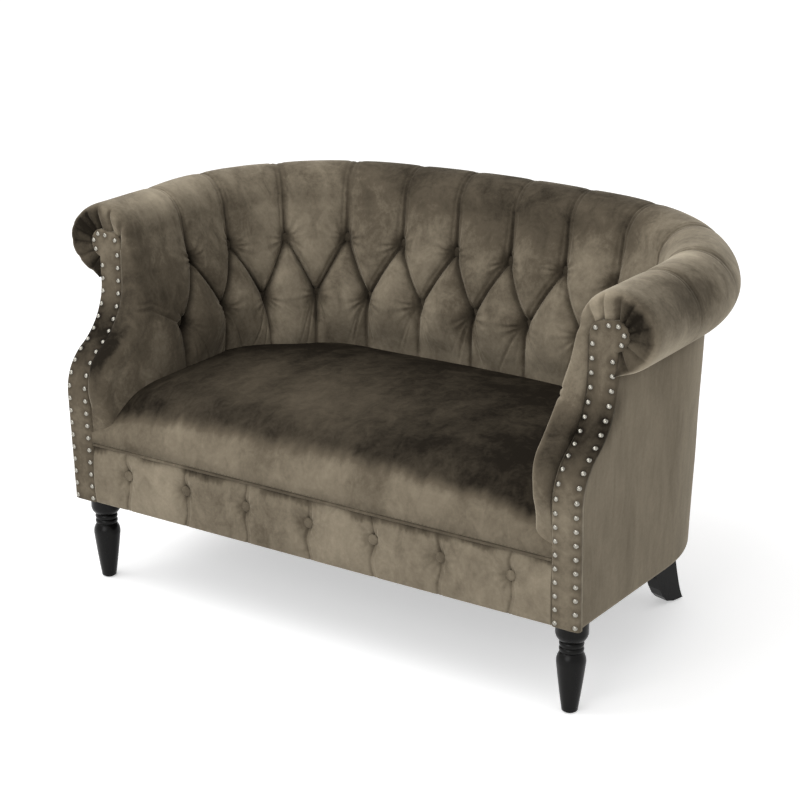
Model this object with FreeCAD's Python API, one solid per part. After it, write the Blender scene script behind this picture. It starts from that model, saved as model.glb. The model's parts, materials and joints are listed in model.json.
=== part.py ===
import FreeCAD
import Part
import math
import os

Vec = FreeCAD.Vector

# A tufted tub loveseat. Millimetres, +Z up, the front faces -Y, right is +X as seen from the front.
# Depths are given from the feet of the arms' front panels, heights from the floor.

# Plan of the arms and back: the line that the roll's centre follows
arm_spread = 521.0            # middle of the seat to the roll's centre at its front end
arm_flare = 1.5               # degrees that each arm opens out towards the back
side_run = 206.0              # straight length of each arm's roll
corner_radius = 314.0         # bend from arm to back
back_bow = 4.3                # degrees of bow in each half of the back

# Roll on top of the arms and back
roll_radius = 64.0
roll_pleat = 5.0              # depth of the pleats across the roll
roll_round = 18.0             # rounding of the roll's front ends
arm_roll_height = 638.0       # centre of the roll at its front ends
back_rise = 16.0              # how much higher the centre is at the middle of the back

# Tufted padding inside the arms and back; insets are measured in from the roll's line
pad_back = 31.0               # inset of the padding's back face
tuft_line = 75.0              # inset of the line along which the tufts are spaced
tuft_pitch = 118.0            # from one button to the next in a row
plain_front = 60.0            # least untufted length at the front of each arm
lower_button_drop = 105.0     # from the upper row down to the lower row
lower_button_inset = 88.0
upper_button_drop = 63.0      # from the centre of the roll's front ends down to the upper row
upper_button_inset = 62.0
slant_lift = 12.0             # how far a slanting pleat rises between its two buttons
lower_swell = 38.0            # swell of the padding between the lower pleats
upper_swell = 30.0            # swell of the padding between the upper pleats
pleat_swell = 5.0             # what is left of the swell along an upright pleat
plain_inset = 102.0           # inset of the plain face at the front of the arms
plain_drop = 133.0            # from the centre of the roll's front ends down to its fullest
plain_swell = 6.0
plain_fade = 0.75             # share of a pitch over which the tufts fade into the plain face
plain_thinning = 0.6          # how far the plain face follows the padding where it thins
pad_meets_roll = 12.0         # degrees below level at which the padding meets the roll

# Line on which the padding meets the seat
seat_inset = 110.0
seat_edge_height = 384.0
corner_fill = 34.0            # extra padding in the back corners
front_seat_inset = 46.0       # the padding thins to this at the front panels
front_seat_height = 290.0
front_blend = 180.0           # depth over which the padding thins
inset_power = 2.0
height_power = 3.5

# Seat
seat_front = -4.0             # depth of the foremost point of the seat's lip
lip_depth = 74.0              # depth over which the lip rounds up to the seat
lip_nose = 12.0               # height of the lip's upright front edge
seat_crown = 26.0
least_crown = 3.0
lip_stations = (0, 0.02, 0.08, 0.2, 0.4, 0.7, 1)   # shares of the lip's depth where it is shaped
station_gap = 9.0             # least depth between two sections behind the lip
seat_floor = 288.6            # underside of the crowned cushion
seat_tuck = 4.0               # how far the cushion's edge is tucked below its line on the padding

# Front panels of the arms: an ogee in side view, a strip with a lobed top in front view
panel_inner = 478.0
panel_outer = 529.0
panel_thickness = 8.0
knee_forward = 9.0            # how far the knee stands before the foot
knee_height = 375.0
knee_radius = 90.0
neck_set = 96.0               # how far the neck stands behind the foot
neck_drop = 76.0              # from the centre of the roll's front ends down to the neck
panel_round_drop = 10.0       # the rounded top's centre, below that of the roll
lobe_shift = 18.0             # the lobe's centre, outwards from the rounded top's
lobe_rise = 2.0
lobe_radius = 26.0

# Front border below the seat, its buttons and the welt above it
border_back = 12.0
border_top = 276.0
border_button_height = 232.0
border_button_pitch = 133.5
border_swell = 4.0            # how far it stands out between the buttons
border_tuft = 5.0             # how far a button is drawn in
border_pleat = 2.0            # depth of the pleats above and below a button
border_edge_set = 1.0
border_roundness = 3.0
welt_radius = 3.0

# Covered buttons and nails
button_radius = 9.5
button_height = 6.0
nail_radius = 5.0
nail_height = 3.0
nail_pitch = 23.9
nail_edge = 7.3               # from a panel's edge to the middle of its nails
first_nail = 7.0              # from the panel's foot to its first nail
lobe_nail_start = -40.0       # degrees round the lobe
lobe_nail_step = 53.0
lobe_nails = 4
corner_nail = 140.0           # degrees round the panel's rounded top, on its inner side

# Outside cover
body_floor = 165.0            # lower edge of the cover, panels and border
cover_thickness = 3.0
cover_foot = 5.0              # how far the cover's foot stands outside the roll's line
front_cover_head = 9.0        # and its head, at the front
back_cover_head = 16.0        # and its head, at the corners and back

# Wooden frame
frame_floor = 168.0
rail_top = 240.0
frame_inner = 28.0            # inset of the frame's inner face
frame_outer = 6.0             # inset of the uprights' and top rails' outer face
top_rail_depth = 24.0
rail_thickness = 25.0
post_thickness = 26.0
upright_width = 40.0
arm_upright_set = 120.0       # from an arm's roll end to its upright
corner_upright_share = 0.5    # place of the corner uprights along the bend
stretcher_width = 40.0
stretcher_height = 45.0
stretcher_lift = 8.0
block_side = 72.0
block_height = 40.0
rear_block_inset = 84.0
rear_block_width = 80.0
rear_block_gap = 1.0          # the straight block stands this far from the bent rail
screw_stagger = 6.0           # a corner block's two screws pass this far above and below its middle

# Springs and cloths
spring_spacing = 110.0
spring_wire = 4.0
spring_half_width = 22.0
spring_pitch = 26.0
clip_length = 9.0
clip_width = 18.0
cloth_thickness = 1.2

# Legs and their fittings
leg_out = 494.0               # middle of the seat to a front leg's axis
leg_set = 42.0                # depth of a front leg's axis
rear_leg_out = 425.0          # middle of the seat to a rear leg's head
rear_leg_set = 479.0          # depth of a rear leg's head
rear_leg_turn = 15.0          # degrees that it is turned out from straight back
rear_leg_sweep = 58.0         # how far its foot stands behind its head
rear_leg_width = 28.0
rear_head_depth = 60.0
rear_foot_depth = 26.0
front_edge_power = 0.4        # curve of a rear leg's front edge
rear_edge_power = 0.7
sweep_stations = (0, 0.03, 0.1, 0.2, 0.35, 0.55, 0.8, 1)   # shares of its height where it is shaped
collar_radius = 27.5
collar_flare = 14.5           # height over which the collar opens
flare_round = (0.66, 0.4)     # shares of the opening's width and height that its curve passes through
bead_radius = 20.7
bead_height = 9.6
bead_floor = 108.5
waist_radius = 18.5
bulge_radius = 24.5
bulge_height = 88.0
bulge_round = (0.75, 0.62)    # shares of the way in and up that the bulge's top passes through
taper_round = 0.54            # share of the taper's width reached halfway up
foot_radius = 13.4
glide_radius = 9.0
glide_height = 3.0
plate_half = 24.0
plate_thickness = 3.0
bolt_radius = 4.0
bolt_length = 45.0
screw_radius = 2.0
screw_head_radius = 4.0
screw_head_height = 3.0
screw_inset = 7.0             # from a plate's edge to its screws
plate_screw_length = 16.0
block_screw_length = 48.0
block_screw_grip = 18.0       # how deep a block's screw bites the rail

# Clearances
soft_gap = 0.4                # between padding or covers and what they lie against
joint_gap = 0.2               # glue line between wooden pieces
hole_gap = 0.2                # round screws and bolts

# Values that follow from the sizes above
flare = math.radians(arm_flare)
bow = math.radians(back_bow)
upper_button_height = arm_roll_height - upper_button_drop
lower_button_height = upper_button_height - lower_button_drop
plain_height = arm_roll_height - plain_drop
neck_height = arm_roll_height - neck_drop
panel_round_height = arm_roll_height - panel_round_drop
side_angle = math.pi / 2 + flare
roll_front = neck_set + panel_thickness + soft_gap + roll_radius * math.sin(flare)
leg_top = frame_floor - plate_thickness
welt_height = border_top + soft_gap + 2 * welt_radius
deck_floor = rail_top + joint_gap + spring_wire + soft_gap
pad_floor = deck_floor + cloth_thickness + soft_gap
panel_lean = knee_forward / (knee_height - body_floor)
pad_setback = border_back + soft_gap + panel_lean * (border_top - body_floor)
post_front = panel_thickness + soft_gap
post_back = post_front + post_thickness
front_rail_front = border_back + soft_gap
front_rail_back = front_rail_front + rail_thickness
rail_outer = cover_foot - cover_thickness - soft_gap
front_line = arm_spread - roll_front * math.tan(flare)
frame_half = front_line - frame_inner - joint_gap
post_inner = arm_spread - pad_back + (neck_set + post_back - roll_front) * math.tan(flare) + soft_gap
post_outer = front_line + rail_outer - joint_gap
ogee_turn = 2 * math.atan2(neck_set + knee_forward, neck_height - knee_height)
neck_radius = (neck_height - knee_height) / math.sin(ogee_turn) - knee_radius


def lerp(first, last, share):
    return first + (last - first) * share


def clamp(value):
    return min(max(value, 0.0), 1.0)


def ease(value):
    share = clamp(value)
    return share * share * (3 - 2 * share)


def outward_at(angle):
    """Direction out of the seat where the wall has turned by an angle from the back's middle."""
    return Vec(math.sin(angle), math.cos(angle), 0)


def forward_at(angle):
    """Direction along the wall, from the back's middle towards an arm's front."""
    return Vec(math.cos(angle), -math.sin(angle), 0)


corner_centre = (Vec(arm_spread, roll_front, 0) - outward_at(side_angle) * corner_radius
                 - forward_at(side_angle) * side_run)
back_radius = corner_radius + corner_centre.x / math.sin(bow)
back_centre = Vec(0, corner_centre.y - (back_radius - corner_radius) * math.cos(bow), 0)
back_run = (back_radius - tuft_line) * bow
corner_run = (corner_radius - tuft_line) * (side_angle - bow)
bend_end = back_run + corner_run
arm_run = bend_end + side_run
tufts_per_side = int((arm_run - plain_front) / tuft_pitch)


def plan_spot(along):
    """Point on the roll's line and the outward direction there, at a run from the back's middle."""
    run = abs(along)
    if run < back_run:
        angle = run / (back_radius - tuft_line)
        point = back_centre + outward_at(angle) * back_radius
    elif run < bend_end:
        angle = bow + (run - back_run) / (corner_radius - tuft_line)
        point = corner_centre + outward_at(angle) * corner_radius
    else:
        angle = side_angle
        point = corner_centre + outward_at(angle) * corner_radius + forward_at(angle) * (run - bend_end)
    outward = outward_at(angle)
    if along < 0:
        point.x = -point.x
        outward.x = -outward.x
    return point, outward


def wall_point(along, out, height):
    point, outward = plan_spot(along)
    spot = point + outward * out
    return Vec(spot.x, spot.y, height)


def along_at(depth):
    """Run from the back's middle to where an arm's line stands at a depth."""
    return arm_run + (roll_front - depth) / math.cos(flare)


def columns(limit):
    """Runs at every quarter of a tuft, both ways from the middle, and the limits themselves."""
    quarter = tuft_pitch / 4
    count = int(limit / quarter - 0.25)
    return [-limit] + [index * quarter for index in range(-count, count + 1)] + [limit]


def roll_end_runs():
    """Runs over which the roll rounds off at the front of an arm."""
    return [arm_run - roll_round * (1 - math.sin(math.radians(turn))) for turn in (30, 60, 90)]


def both_ways(runs):
    """The given rising runs with their mirror images before them."""
    return [-run for run in reversed(runs)] + runs


def closed_wire(steps):
    """Wire whose steps are an end point each, or a via point and an end point for an arc."""
    edges = []
    start = steps[-1][-1]
    for step in steps:
        end = step[-1]
        if len(step) == 1:
            edges.append(Part.makeLine(start, end))
        else:
            edges.append(Part.Arc(start, step[0], end).toShape())
        start = end
    return Part.Wire(edges)


def wall_piece(runs, section):
    """Solid whose section, in steps of (out, height), is carried along the wall."""
    wires = []
    for along in runs:
        steps = [[wall_point(along, *spot) for spot in step] for step in section(along)]
        wires.append(closed_wire(steps))
    return Part.makeLoft(wires, True, True)


def upright_box(inner, outer, floor, top):
    """Section of a plain strip: (out, height) corners."""
    return [[(inner, top)], [(outer, top)], [(outer, floor)], [(inner, floor)]]


def prism(points, floor, top):
    """Upright prism on a plan outline."""
    base = [Vec(x, y, floor) for x, y in points]
    return Part.Face(Part.makePolygon(base + base[:1])).extrude(Vec(0, 0, top - floor))


def box(low, high):
    return Part.makeBox(high[0] - low[0], high[1] - low[1], high[2] - low[2], Vec(*low))


def mirrored(shape):
    """The same piece on the other side of the seat."""
    return shape.mirror(Vec(0, 0, 0), Vec(1, 0, 0))


def dome(base, axis, radius, height):
    """Flat-backed round dome that stands on a base point."""
    sphere = (radius ** 2 + height ** 2) / (2 * height)
    latitude = math.degrees(math.asin((sphere - height) / sphere))
    return Part.makeSphere(sphere, base - axis * (sphere - height), axis, latitude, 90, 360)


def swelled(start, end, swell):
    """Via point of an arc that swells towards the seat between two (out, height) points."""
    across = end[0] - start[0]
    up = end[1] - start[1]
    reach = math.copysign(swell, up) / math.hypot(across, up)
    return ((start[0] + end[0]) / 2 - up * reach, (start[1] + end[1]) / 2 + across * reach)


# The roll

def roll_height(along):
    share = min(abs(along) / arm_run, 1.0)
    return arm_roll_height + back_rise * (0.5 + 0.5 * math.cos(math.pi * share))


def tuft_phase(along):
    """0 in line with a lower button, 1 in line with an upper one."""
    share = abs(along) / tuft_pitch % 1.0
    return 2 * min(share, 1 - share)


def roll_radius_at(along):
    radius = roll_radius - roll_pleat * tuft_phase(along) ** 2
    beyond = clamp((abs(along) - arm_run + roll_round) / roll_round)
    return radius - roll_round * (1 - math.sqrt(1 - beyond ** 2))


def roll_section(along):
    radius = roll_radius_at(along)
    height = roll_height(along)

    def rim(degrees):
        angle = math.radians(degrees)
        return (radius * math.cos(angle), height + radius * math.sin(angle))

    return [[rim(start + 45), rim(start + 90)] for start in (45, 135, 225, 315)]


def make_roll():
    ends = roll_end_runs()
    runs = [-run for run in reversed(ends)] + columns(arm_run - roll_round) + ends
    return wall_piece(runs, roll_section)


# The tufted padding

def seat_edge(along):
    """Inset and height of the line on which the padding meets the seat."""
    run = abs(along)
    bend = clamp((run - back_run) / corner_run)
    inset = seat_inset + corner_fill * math.sin(math.pi * bend) ** 2
    depth = plan_spot(run)[0].y
    if run < bend_end or depth > front_blend:
        return inset, seat_edge_height
    left = 1 - clamp(depth / front_blend)
    return (lerp(inset, front_seat_inset, left ** inset_power),
            lerp(seat_edge_height, front_seat_height, left ** height_power))


def pad_section(along):
    inset, edge_height = seat_edge(along)
    phase = tuft_phase(along)
    plain = ease((abs(along) - tufts_per_side * tuft_pitch) / (plain_fade * tuft_pitch))
    slant = slant_lift * (1 - abs(2 * phase - 1))
    tuft_inset = lerp(lower_button_inset, upper_button_inset, phase) + slant
    tuft_height = lerp(lower_button_height, upper_button_height, phase)
    thinned = plain_inset - plain_thinning * max(seat_inset - inset, 0.0)
    groove = (-lerp(tuft_inset, thinned, plain), lerp(tuft_height, plain_height, plain))
    rounding = math.sin(math.pi / 2 * phase)
    lower = lerp(lerp(pleat_swell, lower_swell, rounding), plain_swell, plain)
    upper = lerp(lerp(upper_swell, pleat_swell, rounding), plain_swell, plain)
    reach = roll_radius_at(along) + soft_gap
    centre = roll_height(along)
    meet = math.radians(pad_meets_roll)
    under = math.acos(pad_back / reach)

    def below_roll(angle):
        return (-reach * math.cos(angle), centre - reach * math.sin(angle))

    edge = (-inset, edge_height)
    return [[below_roll(under)],
            [below_roll((under + meet) / 2), below_roll(meet)],
            [swelled(below_roll(meet), groove, upper), groove],
            [swelled(groove, edge, lower), edge],
            [(-inset, pad_floor)],
            [(-pad_back, pad_floor)]]


def front_runs():
    """Runs from the roll's rounded end to just past the front of an arm."""
    last = along_at(seat_front - panel_thickness)
    count = int((last - arm_run) / (tuft_pitch / 5)) + 1
    return roll_end_runs() + [lerp(arm_run, last, step / count) for step in range(1, count + 1)]


def wall_runs():
    front = front_runs()
    return [-run for run in reversed(front)] + columns(arm_run - roll_round) + front


def tuft_buttons():
    """Runs of the lower and of the upper row of buttons."""
    lower = [index * tuft_pitch for index in range(-tufts_per_side, tufts_per_side + 1)]
    upper = both_ways([(index + 0.5) * tuft_pitch for index in range(tufts_per_side)])
    return lower, upper


def wall_button(along, inset, height):
    """A covered button, and the pocket in the padding that it is pulled into."""
    seat = wall_point(along, -inset, height)
    inward = plan_spot(along)[1] * -1
    button = dome(seat + inward * soft_gap, inward, button_radius, button_height)
    pocket = Part.makeCylinder(button_radius + soft_gap, lower_button_inset, seat, inward)
    return button, pocket


def make_tufted_pad(nodes):
    lower, upper = tuft_buttons()
    lower_row = [wall_button(along, lower_button_inset, lower_button_height) for along in lower]
    upper_row = [wall_button(along, upper_button_inset, upper_button_height) for along in upper]
    nodes["lower_back_buttons"] = Part.makeCompound([button for button, pocket in lower_row])
    nodes["upper_back_buttons"] = Part.makeCompound([button for button, pocket in upper_row])
    pad = wall_piece(wall_runs(), pad_section)
    pockets = [pocket for button, pocket in lower_row + upper_row]
    nodes["tufted_padding"] = pad.cut([before_ogee(pad_setback)] + pockets)


# The ogee at the front of the arms

def ogee_spots(shift):
    """Depth and height of the ogee's knee, shoulder and neck, with the arcs' via points."""
    def knee(turn):
        return (shift - knee_forward + knee_radius * (1 - math.cos(turn)),
                knee_height + knee_radius * math.sin(turn))

    def neck(turn):
        return (shift + neck_set - neck_radius * (1 - math.cos(turn)),
                neck_height - neck_radius * math.sin(turn))

    half = ogee_turn / 2
    return knee(0), knee(half), knee(ogee_turn), neck(half), neck(0)


def ogee_layer(front, back, floor, top, inner, outer):
    """Strip between two copies of the ogee, one behind the other, between two side planes."""
    knee, knee_via, shoulder, neck_via, neck = ogee_spots(front)
    rear_knee, rear_knee_via, rear_shoulder, rear_neck_via, rear_neck = ogee_spots(back)
    steps = [[(front, floor)], [knee], [knee_via, shoulder], [neck_via, neck], [(neck[0], top)],
             [(rear_neck[0], top)], [rear_neck], [rear_neck_via, rear_shoulder],
             [rear_knee_via, rear_knee], [(back, floor)]]
    wire = closed_wire([[Vec(inner, *spot) for spot in step] for step in steps])
    return Part.Face(wire).extrude(Vec(outer - inner, 0, 0))


def before_ogee(shift):
    """Everything in front of and above the ogee when it is moved back by a shift."""
    knee, knee_via, shoulder, neck_via, neck = ogee_spots(shift)
    side = arm_spread + corner_radius
    top = arm_roll_height + corner_radius
    steps = [[(shift, 0)], [(shift, body_floor)], [knee], [knee_via, shoulder], [neck_via, neck],
             [(neck[0], top)], [(-corner_radius, top)], [(-corner_radius, 0)]]
    wire = closed_wire([[Vec(-side, *spot) for spot in step] for step in steps])
    return Part.Face(wire).extrude(Vec(2 * side, 0, 0))


def ogee_walk(distance):
    """Depth, height and facing of the panel's front at a distance up from its foot."""
    shank = math.hypot(knee_forward, knee_height - body_floor)
    if distance < shank:
        share = distance / shank
        turn = -math.atan2(knee_forward, knee_height - body_floor)
        spot = (-knee_forward * share, lerp(body_floor, knee_height, share))
    elif distance < shank + knee_radius * ogee_turn:
        turn = (distance - shank) / knee_radius
        spot = (knee_radius * (1 - math.cos(turn)) - knee_forward,
                knee_height + knee_radius * math.sin(turn))
    else:
        turn = ogee_turn - (distance - shank - knee_radius * ogee_turn) / neck_radius
        if turn > 0:
            spot = (neck_set - neck_radius * (1 - math.cos(turn)),
                    neck_height - neck_radius * math.sin(turn))
        else:
            spot = (neck_set, neck_height - turn * neck_radius)
            turn = 0.0
    return spot[0], spot[1], (-math.cos(turn), math.sin(turn))


def panel_nail(x, depth, height, facing):
    axis = Vec(0, *facing)
    return dome(Vec(x, depth, height) + axis * soft_gap, axis, nail_radius, nail_height)


def make_panel_nails(lobe):
    """Nails up both edges of the right panel, round its lobe and on its inner corner."""
    nails = []
    first_lobe_nail = lobe[1] + (lobe_radius - nail_edge) * math.sin(math.radians(lobe_nail_start))
    outer_line = (panel_outer - nail_edge, first_lobe_nail - nail_radius * 2)
    inner_line = (panel_inner + nail_edge, panel_round_height)
    for x, last_height in (outer_line, inner_line):
        distance = first_nail
        depth, height, facing = ogee_walk(distance)
        while height < last_height:
            nails.append(panel_nail(x, depth, height, facing))
            distance += nail_pitch
            depth, height, facing = ogee_walk(distance)
    for index in range(lobe_nails):
        angle = math.radians(lobe_nail_start + index * lobe_nail_step)
        x = lobe[0] + (lobe_radius - nail_edge) * math.cos(angle)
        height = lobe[1] + (lobe_radius - nail_edge) * math.sin(angle)
        nails.append(panel_nail(x, neck_set, height, (-1, 0)))
    half = (panel_outer - panel_inner) / 2
    corner = math.radians(corner_nail)
    nails.append(panel_nail(panel_inner + half + (half - nail_edge) * math.cos(corner), neck_set,
                            panel_round_height + (half - nail_edge) * math.sin(corner), (-1, 0)))
    return Part.makeCompound(nails)


def make_arm_fronts(nodes):
    half = (panel_outer - panel_inner) / 2
    middle = panel_inner + half
    lobe = (middle + lobe_shift, panel_round_height + lobe_rise)
    strip = ogee_layer(0, panel_thickness, body_floor, panel_round_height, panel_inner, panel_outer)
    back = Vec(0, 1, 0)
    top = Part.makeCylinder(half, panel_thickness, Vec(middle, neck_set, panel_round_height), back)
    bulb = Part.makeCylinder(lobe_radius, panel_thickness, Vec(lobe[0], neck_set, lobe[1]), back)
    panel = strip.fuse([top, bulb]).removeSplitter()
    post_top = arm_roll_height - roll_radius - soft_gap
    post = ogee_layer(post_front, post_back, frame_floor, post_top, post_inner, post_outer)
    nails = make_panel_nails(lobe)
    nodes["right_front_panel"] = panel
    nodes["left_front_panel"] = mirrored(panel)
    nodes["right_panel_nails"] = nails
    nodes["left_panel_nails"] = mirrored(nails)
    nodes["right_arm_post"] = post
    nodes["left_arm_post"] = mirrored(post)


# The seat

def seat_outline():
    """Right-hand edge of the seat in plan, from the front to the back's middle."""
    spots = []
    for along in reversed([run for run in wall_runs() if run > tuft_pitch / 3]):
        inset = seat_edge(along)[0]
        spots.append(wall_point(along, -inset - soft_gap, 0))
    return spots


def half_width(depth, outline):
    for near, far in zip(outline, outline[1:]):
        if near.y <= depth <= far.y:
            return lerp(near.x, far.x, (depth - near.y) / (far.y - near.y))
    return outline[0].x if depth < outline[0].y else outline[-1].x


def make_seat(nodes):
    outline = seat_outline()
    rear = outline[-1].y
    lip = [seat_front + lip_depth * share for share in lip_stations]
    depths = lip + [spot.y for spot in outline if spot.y > lip[-1] + station_gap]
    wires = []
    for depth in depths:
        rounding = math.sqrt(1 - (1 - clamp((depth - seat_front) / lip_depth)) ** 2)
        share = clamp((depth - seat_front) / (rear - seat_front))
        edge_height = seat_edge(along_at(depth))[1] if depth < corner_centre.y else seat_edge_height
        nose = seat_floor + lip_nose
        edge = lerp(nose, max(edge_height - seat_tuck, nose), rounding)
        swell = seat_crown * 4 * share * (1 - share)
        crown = lerp(nose, seat_edge_height - seat_tuck + swell, rounding) + least_crown
        half = half_width(depth, outline)
        steps = [[Vec(0, depth, crown), Vec(half, depth, edge)], [Vec(half, depth, seat_floor)],
                 [Vec(-half, depth, seat_floor)], [Vec(-half, depth, edge)]]
        wires.append(closed_wire(steps))
    nodes["seat_cushion"] = Part.makeLoft(wires, True, True)
    front = front_rail_front + soft_gap
    half = half_width(front, outline)
    right = [(half, front)] + [(spot.x, spot.y) for spot in outline if spot.y > front + station_gap]
    plan = right + [(-x, y) for x, y in reversed(right)]
    nodes["seat_foam"] = prism(plan, pad_floor, seat_floor - soft_gap)


# The front border and the welt

def border_section(x, button_xs):
    """Section of the border at a place across the seat: drawn in at buttons, swelled between them."""
    near = min(abs(x - button_x) for button_x in button_xs)
    swell = math.sin(math.pi / 2 * clamp(2 * near / border_button_pitch))
    edge = border_edge_set + border_pleat * (1 - swell)
    floor = (edge, body_floor)
    tuft = (lerp(border_tuft, -border_swell, swell), border_button_height)
    top = (edge, border_top)
    steps = [[(border_back, body_floor)], [floor], [swelled(floor, tuft, border_roundness), tuft],
             [swelled(tuft, top, border_roundness), top], [(border_back, border_top)]]
    return closed_wire([[Vec(x, *spot) for spot in step] for step in steps])


def make_border(nodes):
    end = panel_inner - soft_gap
    count = int((end - button_radius) / border_button_pitch)
    button_xs = [index * border_button_pitch for index in range(-count, count + 1)]
    quarter = border_button_pitch / 4
    inner = [index * quarter for index in range(int(end / quarter - 0.25) + 1)]
    places = [-x for x in reversed(inner[1:])] + inner
    border = Part.makeLoft([border_section(x, button_xs) for x in [-end] + places + [end]], True, True)
    front = Vec(0, -1, 0)
    seats = [Vec(x, border_tuft, border_button_height) for x in button_xs]
    room = button_radius + soft_gap
    pockets = [Part.makeCylinder(room, border_back * 2, seat, front) for seat in seats]
    buttons = [dome(seat + front * soft_gap, front, button_radius, button_height) for seat in seats]
    nodes["front_border"] = border.cut(pockets)
    nodes["border_buttons"] = Part.makeCompound(buttons)
    cords = []
    for height in (welt_height - welt_radius, welt_height + welt_radius):
        start = Vec(-end, seat_front + welt_radius, height)
        cords.append(Part.makeCylinder(welt_radius, 2 * end, start, Vec(1, 0, 0)))
    nodes["seat_welt"] = Part.makeCompound(cords)


# The outside cover

def cover_section(along):
    back = ease((arm_run - abs(along)) / side_run)
    head = lerp(front_cover_head, back_cover_head, back)
    drop = math.sqrt(roll_radius ** 2 - head ** 2) + 2 * soft_gap
    top = roll_height(along) - drop
    return [[(head - cover_thickness, top)], [(head, top)], [(cover_foot, body_floor)],
            [(cover_foot - cover_thickness, body_floor)]]


def make_cover(nodes):
    cover = wall_piece(wall_runs(), cover_section)
    nodes["outside_cover"] = cover.cut(before_ogee(panel_thickness + soft_gap))


# The wooden frame

def top_rail_section(along):
    top = roll_height(along) - roll_radius - soft_gap
    return upright_box(-frame_inner, -frame_outer, top - top_rail_depth, top)


def upright_section(along):
    top = roll_height(along) - roll_radius - soft_gap - top_rail_depth - joint_gap
    return upright_box(-frame_inner, -frame_outer, rail_top, top)


def base_rail_section(along):
    return upright_box(-frame_inner, rail_outer, frame_floor, rail_top)


def make_upright(along):
    return wall_piece([along - upright_width / 2, along + upright_width / 2], upright_section)


def make_frame():
    """Wooden pieces before they are bored for screws."""
    wood = {}
    wood["front_rail"] = box((-frame_half, front_rail_front, frame_floor),
                             (frame_half, front_rail_back, rail_top))
    wood["back_rail"] = wall_piece(columns(bend_end), base_rail_section)
    side_ends = [bend_end + joint_gap, along_at(post_back + 2 * joint_gap)]
    wood["right_side_rail"] = wall_piece(side_ends, base_rail_section)
    wood["back_top_rail"] = wall_piece(columns(bend_end), top_rail_section)
    top_ends = [bend_end + joint_gap, along_at(neck_set + post_back + 2 * joint_gap)]
    wood["right_arm_top_rail"] = wall_piece(top_ends, top_rail_section)
    bend_upright = back_run + corner_run * corner_upright_share
    backs = both_ways([spring_spacing * 0.5, spring_spacing * 1.5, bend_upright])
    wood["back_uprights"] = Part.makeCompound([make_upright(along) for along in backs])
    wood["right_arm_upright"] = make_upright(arm_run - arm_upright_set)
    stretcher_end = back_y(stretcher_width / 2, -frame_inner) - joint_gap
    stretcher_floor = frame_floor + stretcher_lift
    wood["centre_stretcher"] = box(
        (-stretcher_width / 2, front_rail_back + joint_gap, stretcher_floor),
        (stretcher_width / 2, stretcher_end, stretcher_floor + stretcher_height))
    for name in ("side_rail", "arm_top_rail", "arm_upright"):
        wood["left_" + name] = mirrored(wood["right_" + name])
    return wood


def back_y(x, out):
    """Depth of the bent back at a distance from the middle, at an offset from the roll's line."""
    radius = back_radius + out
    if abs(x) <= radius * math.sin(bow):
        return back_centre.y + math.sqrt(radius ** 2 - x ** 2)
    radius = corner_radius + out
    return corner_centre.y + math.sqrt(radius ** 2 - (abs(x) - corner_centre.x) ** 2)


def screw(head, direction, length):
    """Flat-headed screw whose head's face is at a point."""
    shank = Part.makeCylinder(screw_radius, length, head, direction)
    return shank.fuse(Part.makeCylinder(screw_head_radius, screw_head_height, head, direction))


def screw_hole(head, direction, length):
    """Room for such a screw, open behind its head."""
    shank = Part.makeCylinder(screw_radius + hole_gap, length + hole_gap, head, direction)
    mouth = head - direction * block_side
    deep = block_side + screw_head_height + hole_gap
    return shank.fuse(Part.makeCylinder(screw_head_radius + hole_gap, deep, mouth, direction))


def make_blocks(nodes):
    """Corner blocks at the front, leg blocks at the back, and the screws that hold them."""
    corner_y = front_rail_back + joint_gap
    corner = [(frame_half, corner_y), (frame_half - block_side, corner_y),
              (frame_half, corner_y + block_side)]
    front_block = prism(corner, frame_floor, frame_floor + block_height)
    middle = frame_floor + block_height / 2
    reach = block_screw_length - block_screw_grip
    upper = middle + screw_stagger
    lower = middle - screw_stagger
    holds = [(Vec(frame_half - block_side / 2, front_rail_back + reach, upper), Vec(0, -1, 0)),
             (Vec(frame_half - reach, corner_y + block_side / 2, lower), Vec(1, 0, 0))]
    rear_along = rear_leg_run()
    rear_runs = [rear_along - rear_block_width / 2, rear_along + rear_block_width / 2]
    rear_section = upright_box(-rear_block_inset, -frame_inner - rear_block_gap,
                               frame_floor, frame_floor + block_height)
    rear_block = wall_piece(rear_runs, lambda along: rear_section)
    holds.append((wall_point(rear_along, -frame_inner - reach, middle), plan_spot(rear_along)[1]))
    right_screws = []
    right_holes = []
    for head, direction in holds:
        right_screws.append(screw(head, direction, block_screw_length))
        right_holes.append(screw_hole(head, direction, block_screw_length))
    front_block = front_block.cut(right_holes)
    rear_block = rear_block.cut(right_holes)
    nodes["front_corner_blocks"] = Part.makeCompound([front_block, mirrored(front_block)])
    nodes["rear_leg_blocks"] = Part.makeCompound([rear_block, mirrored(rear_block)])
    nodes["block_screws"] = Part.makeCompound(right_screws + [mirrored(item) for item in right_screws])
    bores = right_holes + [mirrored(hole) for hole in right_holes]
    for name in ("front_rail", "back_rail", "left_side_rail", "right_side_rail"):
        nodes[name] = nodes[name].cut(bores)


# Springs and cloths

def strip_face(points, width):
    """Flat strip of even width along a line of points."""
    left = []
    right = []
    for index, point in enumerate(points):
        before = points[max(index - 1, 0)]
        after = points[min(index + 1, len(points) - 1)]
        into = (point - before) if index else (after - point)
        onward = (after - point) if after != point else into
        first = Vec(-into.y, into.x, 0).normalize()
        second = Vec(-onward.y, onward.x, 0).normalize()
        mitre = (first + second) * (width / 2 / (1 + first.dot(second)))
        left.append(point + mitre)
        right.append(point - mitre)
    return Part.Face(Part.makePolygon(left + right[::-1] + left[:1]))


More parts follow.
